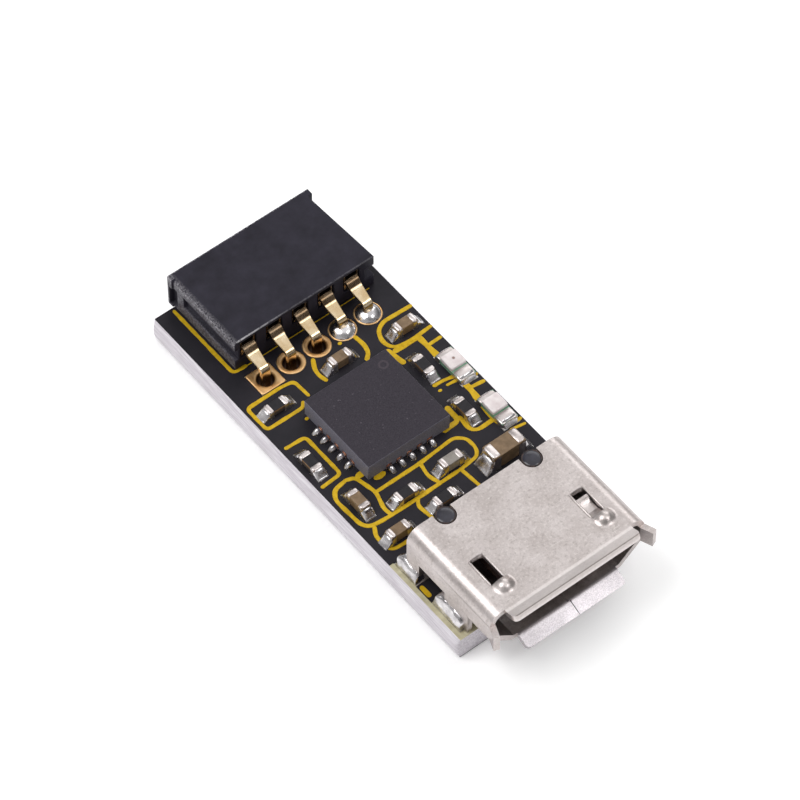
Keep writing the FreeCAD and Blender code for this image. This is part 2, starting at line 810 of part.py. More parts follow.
def middle_of(label):
    """The middle of a small part, from the edge of the board that it lies near."""
    side = -1 if EDGE_OF[label] == "left" else 1
    x = "((%d) * (board_width / 2 - %s_inward))" % (side, label)
    return x, "(%s + %s_front)" % (FRONT_EDGE, label)


def ends_of(run):
    return ((1, 0), (-1, 0)) if run == "across" else ((0, 1), (0, -1))


def seat_ends(label, x, y, run, length, width, end, reach, rise):
    """The two pads and the two fillets of solder of a small part."""
    pad_long = "(%s + %s)" % (end, reach)
    for number, (out_x, out_y) in enumerate(ends_of(run), start=1):
        away = "(%s / 2 - %s / 2 + %s / 2)" % (length, end, reach)
        pad_x = "%s + (%d) * %s" % (x, out_x, away)
        pad_y = "%s + (%d) * %s" % (y, out_y, away)
        wide, deep = spread(run, pad_long, width)
        copper_pad("component_pads", "%s_pad_%d" % (label, number), pad_x, pad_y, wide, deep)
        end_x = "%s + (%d) * %s / 2" % (x, out_x, length)
        end_y = "%s + (%d) * %s / 2" % (y, out_y, length)
        solder_name = "%s_solder_%d" % (label, number)
        fillet_of_solder("component_solder", solder_name, end_x, end_y, (out_x, out_y), reach, rise, width)


def make_block_part(label, run, length, width, height, end, reach, rise):
    """A ceramic block with plated ends that wrap five of its faces."""
    x, y = middle_of(label)
    core_long = "(%s - 2 * end_plating)" % length
    core_short = "(%s - 2 * end_plating)" % width
    core_high = "(%s - 2 * end_plating)" % height
    wide, deep = spread(run, core_long, core_short)
    core = middle_block(label + "_core", x, y, "board_thick + end_plating", wide, deep, core_high)
    caps = []
    for number, (out_x, out_y) in enumerate(ends_of(run), start=1):
        away = "(%s / 2 - %s / 2)" % (length, end)
        cap_x = "%s + (%d) * %s" % (x, out_x, away)
        cap_y = "%s + (%d) * %s" % (y, out_y, away)
        wide, deep = spread(run, end, width)
        whole = middle_block("%s_end_%d" % (label, number), cap_x, cap_y, TOP, wide, deep, height)
        caps.append(cut("%s_cap_%d" % (label, number), whole, [core]))
    keep(label + "_body", core)
    keep(label + "_ends", gather(label + "_end_pair", caps))
    seat_ends(label, x, y, run, length, width, end, reach, rise)


# Lamp: a plated base with a clear moulding nearer its far end
def make_lamp(label):
    x, y = middle_of(label)
    low_x = "%s - lamp_width / 2" % x
    low_y = "%s - lamp_length / 2" % y
    core_x = "%s + end_plating" % low_x
    core_y = "%s + end_plating" % low_y
    core = block(
        label + "_core", core_x, core_y, "board_thick + end_plating",
        "lamp_width - 2 * end_plating", "lamp_length - 2 * end_plating",
        "lamp_base_height - 2 * end_plating")
    near_end = block(label + "_near", low_x, low_y, TOP, "lamp_width", "lamp_near_end", "lamp_base_height")
    far_y = "%s + lamp_length - lamp_far_end" % low_y
    far_end = block(label + "_far", low_x, far_y, TOP, "lamp_width", "lamp_far_end", "lamp_base_height")
    plates = [cut(label + "_near_plate", near_end, [core]), cut(label + "_far_plate", far_end, [core])]
    lens_z = "board_thick + lamp_base_height - end_plating"
    lens = block(
        label + "_dome", core_x, "%s + lamp_near_end" % low_y, lens_z, "lamp_width - 2 * end_plating",
        "lamp_length - lamp_near_end - lamp_far_end", "lamp_height - lamp_base_height + end_plating")
    keep(label + "_base", core)
    keep(label + "_ends", gather(label + "_end_pair", plates))
    keep(label + "_lens", lens)
    seat_ends(
        label, x, y, "along", "lamp_length", "lamp_width", "lamp_far_end", "lamp_reach",
        "lamp_base_height")


# Shell of the USB socket, folded from one sheet with a seam under its middle
def shell_section(inset):
    """Corners of the shell's section, moved in by a part of the sheet."""
    side = "(shell_width / 2 - %s)" % inset
    base = "(shell_floor_width / 2 - %s * tan(45 deg - %s / 2))" % (inset, FOLD)
    knee = "(%s + %s * tan(%s / 2))" % (CREASE, inset, FOLD)
    right = [(base, "(board_thick + %s)" % inset), (side, knee), (side, "(%s - %s)" % (SHELL_TOP, inset))]
    left = [("0 - " + u, v) for u, v in reversed(right)]
    return right + left


def corner_test(corner):
    """Picks the long edges that run through a corner of a section."""
    across = abs(worth(corner[0]))
    upward = worth(corner[1])

    def wanted(centre, edge):
        along = abs(edge.tangentAt(edge.FirstParameter).y) > ALONG
        return along and abs(abs(centre.x) - across) < NEAR and abs(centre.z - upward) < NEAR

    return wanted


def lip_corners(face, straight, angle, way):
    """Side view of a lip: it leaves the rim level, then bends away from the mouth."""
    bend = "(%s - %s)" % (SHELL_RIM, straight)
    tip = "(%s + shell_sheet * sin(%s * 1 deg))" % (SHELL_TIP, angle)
    tip_face = "(%s + (%d) * (%s - %s) * tan(%s * 1 deg))" % (face, way, bend, tip, angle)
    return [
        (SHELL_RIM, face),
        (bend, face),
        (tip, tip_face),
        (SHELL_TIP, "(%s - (%d) * shell_sheet * cos(%s * 1 deg))" % (tip_face, way, angle)),
        (
            "(%s - shell_sheet * tan(%s * 0.5 deg))" % (bend, angle),
            "(%s - (%d) * shell_sheet)" % (face, way)),
        (SHELL_RIM, "(%s - (%d) * shell_sheet)" % (face, way)),
    ]


def shell_lip(body, name, corners, width):
    """A lip with its two bends rounded and its outer corners eased."""
    outline = polygon(body, name + "_outline", "YZ_Plane", corners, "0 - %s / 2" % width)
    lip = pad(body, name, outline, width)
    lip = round_edges(body, name + "_face_bend", lip, "lip_bend", bend_test(*corners[1]))
    lip = round_edges(body, name + "_back_bend", lip, "lip_bend + shell_sheet", bend_test(*corners[4]))
    middle_y = (worth(corners[2][0]) + worth(corners[3][0])) / 2
    middle_z = (worth(corners[2][1]) + worth(corners[3][1])) / 2
    return round_edges(
        body, name + "_corners", lip, "lip_corner",
        lambda c, e: abs(c.y - middle_y) < NEAR and abs(c.z - middle_z) < NEAR)


def shell_tube():
    """The folded tube with its lips, side tabs and windows."""
    body = new_body("shell_body")
    outer = shell_section("0")
    inner = shell_section("shell_sheet")
    outline = polygon(body, "shell_section", "XZ_Plane", outer, "0 - " + SHELL_REAR)
    solid = pad(body, "shell_block", outline, "shell_rear + shell_rim")
    solid = round_edges(body, "shell_top_bends", solid, "shell_bend", corner_test(outer[2]))
    solid = round_edges(body, "shell_side_bends", solid, "shell_knee", corner_test(outer[1]))
    solid = round_edges(body, "shell_floor_bends", solid, "shell_knee", corner_test(outer[0]))
    bore_outline = polygon(body, "shell_bore_section", "XZ_Plane", inner, "0 - " + SHELL_REAR)
    solid = pocket(body, "shell_bore", bore_outline, "shell_rear + shell_rim", back=True)
    round_edges(body, "shell_bore_bends", solid, "shell_bend - shell_sheet", corner_test(inner[2]))
    top_lip = lip_corners(SHELL_TOP, "top_lip_straight", "top_lip_angle", 1)
    floor_lip = lip_corners(TOP, "floor_lip_straight", "floor_lip_angle", -1)
    shell_lip(body, "top_lip", top_lip, "top_lip_width")
    shell_lip(body, "floor_lip", floor_lip, "floor_lip_width")
    side = "(shell_width / 2)"
    lean = "side_tab_angle * 1 deg"
    tip_x = "(%s + side_tab_length * sin(%s))" % (side, lean)
    tip_y = "(%s - side_tab_length * cos(%s))" % (SHELL_RIM, lean)
    tab_outline = polygon(body, "side_tab_outline", "XY_Plane", [
        ("%s - shell_sheet" % side, SHELL_RIM),
        (side, SHELL_RIM),
        (tip_x, tip_y),
        ("%s - shell_sheet * cos(%s)" % (tip_x, lean), "%s - shell_sheet * sin(%s)" % (tip_y, lean)),
        ("%s - shell_sheet" % side, "%s - shell_sheet * tan(side_tab_angle * 0.5 deg)" % SHELL_RIM),
    ], "board_thick + side_tab_foot")
    tab = pad(body, "side_tab", tab_outline, "side_tab_height")
    left = "window_spread / 2 - window_width / 2"
    right = "window_spread / 2 + window_width / 2"
    front = "(%s + window_front)" % FRONT_EDGE
    back = "(%s + window_front + window_length)" % FRONT_EDGE
    opening = [(left, front), (right, front), (right, back), (left, back)]
    window_outline = polygon(body, "window_outline", "XY_Plane", opening, SHELL_TOP)
    window = pocket(body, "window", window_outline, "2 * shell_sheet")
    mirror_x(body, "tabs_and_windows", [tab, window])
    return body


def shell_bump(number, side):
    """A dome raised in front of a window, which its edge cuts off."""
    name = "bump_%d" % number
    ball = "((bump_width ^ 2 / 4 + bump_height ^ 2) / (2 * bump_height))"
    x = "((%d) * window_spread / 2 + bump_shift)" % side
    y = "(%s + window_front - bump_width / 2 + bump_overlap)" % FRONT_EDGE
    z = "(%s + bump_height - %s)" % (SHELL_TOP, ball)
    outside = doc.addObject("Part::Sphere", name + "_ball")
    bind(outside, Radius=ball)
    place(outside, x, y, z)
    above = block(
        name + "_band", "%s - bump_width" % x, "%s - bump_width" % y, "%s - shell_sheet" % SHELL_TOP,
        "2 * bump_width", "1.5 * bump_width - bump_overlap", "shell_sheet + 2 * bump_height")
    return common(name + "_dome", outside, above)


def window_leaf():
    """The tongue left in the right window: it dips and turns up at its end."""
    body = new_body("leaf_body")
    start = "(%s + window_front)" % FRONT_EDGE
    low = "(%s - leaf_gap - leaf_sag)" % SHELL_TOP
    side = [
        (start, "%s - leaf_gap" % SHELL_TOP),
        ("%s + leaf_dip_front" % start, low),
        ("%s + leaf_dip_back" % start, low),
        ("%s + leaf_length" % start, "%s - leaf_gap" % SHELL_TOP),
        ("%s + leaf_length + leaf_sheet" % start, "%s - leaf_gap" % SHELL_TOP),
        ("%s + leaf_dip_back + leaf_sheet" % start, "%s - leaf_sheet" % low),
        ("%s + leaf_dip_front" % start, "%s - leaf_sheet" % low),
        (start, "%s - leaf_gap - leaf_sheet" % SHELL_TOP),
    ]
    wide = "(window_width - 2 * leaf_gap)"
    middle = "(window_spread / 2 - %s / 2)" % wide
    pad(body, "leaf", polygon(body, "leaf_outline", "YZ_Plane", side, middle), wide)
    return body


def make_shell():
    solid = [shell_tube(), window_leaf()]
    hollow = []
    for number, side in enumerate((-1, 1), start=1):
        solid.append(shell_bump(number, side))
        low_x = "(%d) * shell_width / 2 - (%d) * shell_sheet" % (side, (1 + side) // 2)
        for leg in ("rear_leg", "front_leg"):
            y = "(%s + %s_front)" % (FRONT_EDGE, leg)
            name = "%s_%d" % (leg, number)
            tall = "shell_crease + shell_sheet / 2"
            solid.append(block(name, low_x, y, TOP, "shell_sheet", leg + "_length", tall))
        x = "(%d) * post_spread / 2" % side
        y = "(%s - post_inset)" % SHELL_REAR
        z = "(%s - 2 * shell_sheet)" % SHELL_TOP
        hollow.append(rod("notch_%d" % number, x, y, z, "post_width / 2 + post_gap", "3 * shell_sheet"))
        wide = "(post_width + 2 * post_gap)"
        low_x = "%s - %s / 2" % (x, wide)
        hollow.append(block("notch_way_%d" % number, low_x, y, z, wide, "2 * post_inset", "3 * shell_sheet"))
    seam_z = "(board_thick - 2 * shell_sheet)"
    seam_high = "3 * shell_sheet"
    jog_y = "(%s - seam_jog)" % SHELL_RIM
    seam_long = "shell_rear + shell_rim + seam_jog"
    step_wide = "seam_jog + seam_gap"
    seam_x = "0 - seam_gap / 2"
    hollow.append(block("seam", seam_x, jog_y, seam_z, "seam_gap", seam_long, seam_high))
    hollow.append(block("seam_step", seam_x, jog_y, seam_z, step_wide, "seam_gap", seam_high))
    lip_seam = "(usb_overhang - shell_rim - seam_jog + seam_gap)"
    hollow.append(block(
        "seam_in_lip", "seam_jog - seam_gap / 2", SHELL_TIP, seam_z, "seam_gap", lip_seam, seam_high))
    keep("usb_shell", cut("shell_sheet_metal", fuse("shell_raised", solid), hollow))


# Pads under the shell's legs, the bare strip beside them and their solder
def make_shell_seat():
    for number, side in enumerate((-1, 1), start=1):
        pad_x = "(%d) * (board_width / 2 - shell_pad_margin - shell_pad_width / 2)" % side
        for leg in ("rear", "front"):
            name = "%s_shell_pad_%d" % (leg, number)
            pad_y = "(%s + %s_pad_front + %s_pad_length / 2)" % (FRONT_EDGE, leg, leg)
            copper_pad("shell_pads", name, pad_x, pad_y, "shell_pad_width", leg + "_pad_length")
            leg_y = "(%s + %s_leg_front + %s_leg_length / 2)" % (FRONT_EDGE, leg, leg)
            fillet_of_solder(
                "usb_shell_solder", name + "_solder", "(%d) * shell_width / 2" % side, leg_y, (side, 0),
                "leg_solder_reach", "leg_solder_rise", leg + "_leg_length")
        strip_x = "(%d) * (board_width / 2 - shell_pad_margin / 2)" % side
        strip_y = "(%s + bare_strip_length / 2)" % FRONT_EDGE
        mask_windows.append(middle_block(
            "bare_strip_%d" % number, strip_x, strip_y, PAD_FLOOR, "shell_pad_margin",
            "bare_strip_length", "mask_thick"))
        corner_x = "(%d) * (board_width / 2 - bare_corner_width / 2)" % side
        corner_y = "(%s + front_pad_front / 2)" % FRONT_EDGE
        mask_windows.append(middle_block(
            "bare_corner_%d" % number, corner_x, corner_y, PAD_FLOOR, "bare_corner_width",
            "front_pad_front", "mask_thick"))


# The five contacts of the USB socket run under the tongue, through the
# moulding and down behind it to their pads
def make_wire(number):
    name = "usb_contact_%d" % number
    body = new_body(name + "_body")
    front = "(%s + tongue_front + wire_inset)" % FRONT_EDGE
    back = "(%s + wire_gap)" % SHELL_REAR
    high = "(board_thick + tongue_floor)"
    corners = [
        (front, high),
        ("%s + wire_thick" % back, high),
        ("%s + wire_thick" % back, "board_thick + wire_thick"),
        ("%s + wire_tail" % back, "board_thick + wire_thick"),
        ("%s + wire_tail" % back, TOP),
        (back, TOP),
        (back, "%s - wire_thick" % high),
        (front, "%s - wire_thick" % high),
    ]
    outline = polygon(body, name + "_strip", "YZ_Plane", corners, "0 - wire_width / 2")
    wire = pad(body, name + "_wire", outline, "wire_width")
    round_edges(body, name + "_bend", wire, "2 * wire_thick", bend_test(*corners[1]))
    x = "(%d) * wire_pitch" % (number - (WIRE_COUNT + 1) // 2)
    bind(body, Placement_Base_x=x)
    pad_y = "(%s + wire_tail / 2 + wire_pad_reach / 2)" % back
    copper_pad("component_pads", name + "_pad", x, pad_y, "wire_pad_width", "wire_tail + wire_pad_reach")
    fillet_of_solder(
        "component_solder", name + "_solder", x, "%s + wire_tail" % back, (0, 1),
        "wire_pad_reach", "wire_thick", "wire_width")
    keep(name, body)


def make_moulding():
    body = new_body("moulding_body")
    section = shell_section("(shell_sheet + moulding_gap)")
    outline = polygon(body, "moulding_section", "XZ_Plane", section, "0 - " + SHELL_REAR)
    solid = pad(body, "moulding_block", outline, "shell_rear - moulding_front")
    round_edges(
        body, "moulding_bends", solid, "shell_bend - shell_sheet - moulding_gap", corner_test(section[2]))
    front = "(%s + tongue_front)" % FRONT_EDGE
    tongue = block(
        "tongue", "0 - tongue_width / 2", front, "board_thick + tongue_floor", "tongue_width",
        "moulding_front - tongue_front", "tongue_thick")
    pieces = [body, tongue]
    for number, side in enumerate((-1, 1), start=1):
        x = "(%d) * post_spread / 2" % side
        y = "(%s - post_inset)" % SHELL_REAR
        z = "(%s - post_height)" % SHELL_TOP
        pieces.append(rod("post_%d" % number, x, y, z, "post_width / 2", "post_height"))
    wires = [PARTS["usb_contact_%d" % number] for number in range(1, WIRE_COUNT + 1)]
    keep("usb_insulator", cut("moulding_slotted", fuse("moulding", pieces), wires))


def check_and_write():
    doc.recompute()
    for item in doc.Objects:
        for flag in ("Invalid", "Error"):
            if flag in item.State:
                raise RuntimeError("%s is not built: %s" % (item.Name, item.State))
    for label, item in PARTS.items():
        if item.Shape.isNull() or not item.Shape.isValid() or item.Shape.Volume <= 0:
            raise RuntimeError("%s has no sound solid" % label)
    for label, item in PARTS.items():
        item.Shape.exportStep("parts/%s.step" % label)
        print("%-24s %2d solids %9.4f mm3" % (label, len(item.Shape.Solids), item.Shape.Volume))


make_board()
for pin in range(1, PIN_COUNT + 1):
    make_plated_hole(pin)
    make_strip_contact(pin)
make_strip_housing()
for pin in SOLDERED_PINS:
    make_dome(pin)
make_chip()
for label, (edge, inward, front, run) in CAPACITORS.items():
    make_block_part(
        label, run, "small_length", "small_width", "capacitor_height", "small_end", "small_reach",
        "capacitor_rise")
for label, (edge, inward, front, run) in RESISTORS.items():
    make_block_part(
        label, run, "small_length", "small_width", "resistor_height", "small_end", "small_reach",
        "resistor_rise")
for label, (edge, inward, front, run) in LARGE_CAPACITOR.items():
    make_block_part(
        label, run, "large_length", "large_width", "large_height", "large_end", "large_reach",
        "large_rise")
for label in LAMPS:
    make_lamp(label)
make_shell()
make_shell_seat()
for wire in range(1, WIRE_COUNT + 1):
    make_wire(wire)
make_moulding()
make_masks()
for label, pieces in list(copper.items()) + list(solder.items()):
    keep(label, gather(label + "_set", pieces))
check_and_write()
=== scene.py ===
import json
import math
import bmesh
import bpy
from mathutils import Matrix, Vector, noise


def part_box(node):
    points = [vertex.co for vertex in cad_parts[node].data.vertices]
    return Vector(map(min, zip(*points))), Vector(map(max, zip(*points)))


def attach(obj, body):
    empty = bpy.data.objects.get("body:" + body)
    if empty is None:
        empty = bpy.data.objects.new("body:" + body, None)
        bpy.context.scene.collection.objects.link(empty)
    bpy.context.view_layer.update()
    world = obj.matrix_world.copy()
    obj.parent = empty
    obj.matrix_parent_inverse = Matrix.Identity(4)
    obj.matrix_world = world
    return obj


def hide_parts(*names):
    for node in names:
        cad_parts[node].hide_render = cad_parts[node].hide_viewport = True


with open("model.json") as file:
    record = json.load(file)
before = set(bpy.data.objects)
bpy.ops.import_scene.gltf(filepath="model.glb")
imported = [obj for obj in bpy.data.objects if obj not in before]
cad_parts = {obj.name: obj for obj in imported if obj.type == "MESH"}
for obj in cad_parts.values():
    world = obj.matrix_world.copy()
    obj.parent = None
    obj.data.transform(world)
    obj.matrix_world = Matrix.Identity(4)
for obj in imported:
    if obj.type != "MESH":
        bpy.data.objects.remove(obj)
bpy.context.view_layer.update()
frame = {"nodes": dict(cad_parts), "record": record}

# Lengths are written in millimetres and turned into metres by MM.
MM = 0.001
nodes = frame["nodes"]
scene = bpy.context.scene
# The solder's uneven lumps come out the same on each run.
noise.seed_set(5)

# Places are measured from the board's left edge, its front edge and its top.
mask_low, mask_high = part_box("solder_mask_top")
LEFT = mask_low.x / MM
FRONT = mask_low.y / MM
TOP = mask_high.z / MM
BOARD_WIDTH = (mask_high.x - mask_low.x) / MM
# How high the USB shell stands on the board, and how far its mouth lies before it
SHELL_HEIGHT = 2.45
SHELL_REACH = 1.2
SHELL_TOP = TOP + SHELL_HEIGHT
MOUTH = FRONT - SHELL_REACH
# Numbers of the strip's holes and contacts, of the soldered holes and of the USB contacts
HOLES = range(1, 6)
SOLDERED_HOLES = (4, 5)
USB_CONTACTS = range(1, 6)


def spot(x, y, z=0.0):
    """A point in millimetres of the frame, from the corner of the board's top."""
    return Vector((LEFT + x, FRONT + y, TOP + z))


# Materials
def linear(code):
    """The linear colour that an sRGB code such as 1f1c22 stands for."""
    parts = [int(code[i:i + 2], 16) / 255 for i in (0, 2, 4)]
    return tuple(c / 12.92 if c <= 0.04045 else ((c + 0.055) / 1.055) ** 2.4 for c in parts) + (1.0,)


class Nodes:
    """A short way to write a node tree for one material."""

    def __init__(self, name):
        self.material = bpy.data.materials.new(name)
        self.material.use_nodes = True
        self.tree = self.material.node_tree
        self.shader = self.tree.nodes["Principled BSDF"]
        coords = self.tree.nodes.new("ShaderNodeTexCoord")
        scale = self.add("ShaderNodeVectorMath", operation="SCALE")
        scale.inputs["Scale"].default_value = 1 / MM
        self.link(coords.outputs["Object"], scale.inputs[0])
        self.place = scale.outputs[0]
        self.normal = self.add("ShaderNodeNewGeometry").outputs["Normal"]

    def add(self, kind, **settings):
        node = self.tree.nodes.new(kind)
        for word, value in settings.items():
            setattr(node, word, value)
        return node

    def link(self, start, end):
        self.tree.links.new(start, end)

    def put(self, socket, value):
        if isinstance(value, bpy.types.NodeSocket):
            self.link(value, socket)
        elif isinstance(value, str):
            socket.default_value = linear(value)
        else:
            socket.default_value = value

    def noise(self, scale, detail=3.0, rough=0.55, stretch=(1, 1, 1)):
        """Noise from 0 to 1, scale in cycles a millimetre along each axis."""
        mapping = self.add("ShaderNodeMapping")
        mapping.inputs["Scale"].default_value = tuple(scale * s for s in stretch)
        self.link(self.place, mapping.inputs["Vector"])
        node = self.add("ShaderNodeTexNoise")
        node.inputs["Scale"].default_value = 1.0
        node.inputs["Detail"].default_value = detail
        node.inputs["Roughness"].default_value = rough
        self.link(mapping.outputs[0], node.inputs["Vector"])
        return node.outputs["Fac"]

    def ramp(self, fac, *stops):
        """A colour ramp: stops are pairs of place and colour code."""
        node = self.add("ShaderNodeValToRGB")
        while len(node.color_ramp.elements) < len(stops):
            node.color_ramp.elements.new(1.0)
        for element, (place, code) in zip(node.color_ramp.elements, stops):
            element.position = place
            element.color = linear(code)
        self.put(node.inputs["Fac"], fac)
        return node.outputs["Color"]

    def span(self, fac, low, high, to_low=0.0, to_high=1.0):
        """Stretches the range low to high of a value to another range, clamped."""
        node = self.add("ShaderNodeMapRange")
        self.put(node.inputs["Value"], fac)
        words = ("From Min", "From Max", "To Min", "To Max")
        for word, value in zip(words, (low, high, to_low, to_high)):
            node.inputs[word].default_value = value
        return node.outputs["Result"]

    def mix(self, fac, first, second):
        """A blend of two colours."""
        node = self.add("ShaderNodeMix", data_type="RGBA")
        self.put(node.inputs[0], fac)
        self.put(node.inputs[6], first)
        self.put(node.inputs[7], second)
        return node.outputs[2]

    def math(self, operation, first, second=0.0):
        node = self.add("ShaderNodeMath", operation=operation)
        self.put(node.inputs[0], first)
        self.put(node.inputs[1], second)
        return node.outputs[0]

    def part_of_place(self, axis):
        node = self.add("ShaderNodeSeparateXYZ")
        self.link(self.place, node.inputs[0])
        return node.outputs[axis]

    def facing(self, axis):
        """One where the surface faces along an axis either way, else zero."""
        node = self.add("ShaderNodeSeparateXYZ")
        self.link(self.normal, node.inputs[0])
        return self.math("ABSOLUTE", node.outputs[axis])

    def facing_up(self):
        node = self.add("ShaderNodeSeparateXYZ")
        self.link(self.normal, node.inputs[0])
        return node.outputs["Z"]

    def band(self, axis, middle, half, soft):
        """One within half of a place along an axis, fading to zero over soft."""
        away = self.math("ABSOLUTE", self.math("SUBTRACT", self.part_of_place(axis), middle))
        return self.span(away, half, half + soft, 1.0, 0.0)

    def distance_from(self, x, y):
        """How far a point lies from an upright axis."""
        node = self.add("ShaderNodeVectorMath", operation="MULTIPLY")
        self.link(self.place, node.inputs[0])
        node.inputs[1].default_value = (1, 1, 0)
        away = self.add("ShaderNodeVectorMath", operation="DISTANCE")
        self.link(node.outputs[0], away.inputs[0])
        away.inputs[1].default_value = (x, y, 0)
        return away.outputs["Value"]

    def bump(self, height, strength, distance):
        """Bump from a height, its distance in millimetres."""
        node = self.add("ShaderNodeBump")
        node.inputs["Strength"].default_value = strength
        node.inputs["Distance"].default_value = distance * MM
        self.link(height, node.inputs["Height"])
        self.link(node.outputs["Normal"], self.shader.inputs["Normal"])

    def set(self, **values):
        for word, value in values.items():
            self.put(self.shader.inputs[word.replace("_", " ")], value)
        return self.material


def mask_material():
    n = Nodes("black_solder_mask")
    cloud = n.noise(0.9, 4)
    grain = n.noise(14, 2)
    n.bump(n.math("ADD", n.math("MULTIPLY", cloud, 0.6), n.math("MULTIPLY", grain, 0.4)), 0.2, 0.01)
    return n.set(
        Base_Color=n.ramp(cloud, (0.3, "201f24"), (0.7, "29262c")),
        Roughness=n.span(grain, 0.3, 0.7, 0.36, 0.5), Specular_IOR_Level=0.15)


def board_material():
    n = Nodes("glass_laminate")
    fibre = n.noise(2.2, 5, 0.6, (6.0, 0.3, 6.0))
    cloud = n.noise(0.6, 3)
    edge = n.mix(n.span(fibre, 0.35, 0.68), "cdc6ce", "f1edf2")
    edge = n.mix(n.span(cloud, 0.45, 0.75, 0.0, 0.4), edge, "cfc8cd")
    bare = n.ramp(n.noise(2.5, 4), (0.35, "b5ad8b"), (0.65, "d0c9aa"))
    n.bump(fibre, 0.45, 0.03)
    return n.set(
        Base_Color=n.mix(n.span(n.facing_up(), 0.9, 0.97), edge, bare),
        Roughness=0.55, Specular_IOR_Level=0.3)


def gold_pad_material():
    """Bright on the rim; the darker brown down in the dish and the hole is painted shade."""
    n = Nodes("gold_pad")
    cloud = n.noise(2.6, 4)
    # Painted shade: the pad turns dark brown from its rim down into the dish and the hole.
    depth = n.span(n.part_of_place("Z"), TOP - 0.14, TOP + 0.016)
    rim = n.ramp(cloud, (0.3, "cfa06a"), (0.65, "e6c08e"))
    n.bump(n.noise(9, 3), 0.2, 0.01)
    return n.set(
        Base_Color=n.mix(depth, "5d3a1c", rim), Metallic=1.0,
        Roughness=n.span(cloud, 0.3, 0.7, 0.38, 0.5))


def contact_material():
    """Champagne plating, with a painted dark brown reflection high up where the sheet leaves the
    moulding.
    """
    n = Nodes("contact_gold")
    cloud = n.noise(1.6, 3)
    # Painted reflection: the tail is painted dark brown above this height, where it leaves the moulding.
    high = n.span(n.part_of_place("Z"), TOP + 0.9, TOP + 0.98)
    plated = n.ramp(cloud, (0.3, "c9ad82"), (0.7, "e6d5b6"))
    n.bump(n.noise(6, 3, 0.5, (3.0, 0.7, 0.7)), 0.25, 0.01)
    return n.set(
        Base_Color=n.mix(n.math("MULTIPLY", high, 0.88), plated, "3a2618"), Metallic=1.0,
        Roughness=n.span(cloud, 0.3, 0.7, 0.16, 0.28))


def solder_material(name="solder", low="b4b1b3", high="ece9ea", smooth=0.14, rough=0.26):
    n = Nodes(name)
    cloud = n.noise(1.8, 2)
    n.bump(n.math("ADD", cloud, n.math("MULTIPLY", n.noise(7, 2), 0.12)), 0.25, 0.02)
    return n.set(
        Base_Color=n.ramp(cloud, (0.3, low), (0.7, high)),
        Metallic=1.0, Roughness=n.span(n.noise(4, 2), 0.35, 0.65, smooth, rough))


def shell_material():
    """Satin sheet: blotches, fine dark specks and hair scratches, and a painted highlight on the upper
    lip.
    """
    n = Nodes("shell_steel")
    cloud = n.noise(0.8, 5, 0.65)
    spots = n.noise(6.0, 4, 0.7)
    grain = n.noise(22, 3, 0.6)
    scratch = n.noise(3.0, 2, 0.5, (0.35, 6.0, 1.0))
    colour = n.mix(n.span(cloud, 0.35, 0.65), "bdb4b1", "cfc7c5")
    colour = n.mix(n.span(spots, 0.52, 0.68, 0.0, 0.5), colour, "9a918d")
    colour = n.mix(n.span(grain, 0.58, 0.7, 0.0, 0.34), colour, "7a706e")
    colour = n.mix(n.span(n.noise(9, 3, 0.6), 0.52, 0.66, 0.0, 0.35), colour, "e6dfdc")
    colour = n.mix(n.span(scratch, 0.68, 0.72, 0.0, 0.3), colour, "f4f1ef")
    outside = n.span(n.part_of_place("Y"), MOUTH - 0.06, MOUTH, 1.0, 0.0)
    low_down = n.span(n.part_of_place("Z"), TOP + 0.3, TOP + 0.4, 1.0, 0.0)
    lower_lip = n.math("MULTIPLY", outside, low_down)
    sparkle = n.mix(n.span(grain, 0.4, 0.62), "a39ea1", "c0bbbe")
    colour = n.mix(lower_lip, colour, sparkle)
    # Painted highlight: the upper lip before the mouth is painted near white, as the bright crest of its
    # bend.
    high_up = n.span(n.part_of_place("Z"), SHELL_TOP - 0.3, SHELL_TOP - 0.2, 0.0, 0.5)
    lip_painted_highlight = n.math("MULTIPLY", outside, high_up)
    colour = n.mix(lip_painted_highlight, colour, "f2ebe9")
    foremost = n.span(n.part_of_place("Y"), MOUTH - 0.56, MOUTH - 0.52, 1.0, 0.0)
    tip = n.math("MULTIPLY", foremost, n.facing_up())
    tip = n.math("MULTIPLY", tip, n.span(n.part_of_place("Z"), SHELL_TOP, SHELL_TOP + 0.1, 0.0, 0.6))
    colour = n.mix(tip, colour, "6d5a50")
    n.bump(n.math("ADD", n.math("MULTIPLY", grain, 0.7), cloud), 0.2, 0.012)
    return n.set(
        Base_Color=colour, Metallic=1.0, Roughness=n.span(cloud, 0.3, 0.7, 0.34, 0.44))


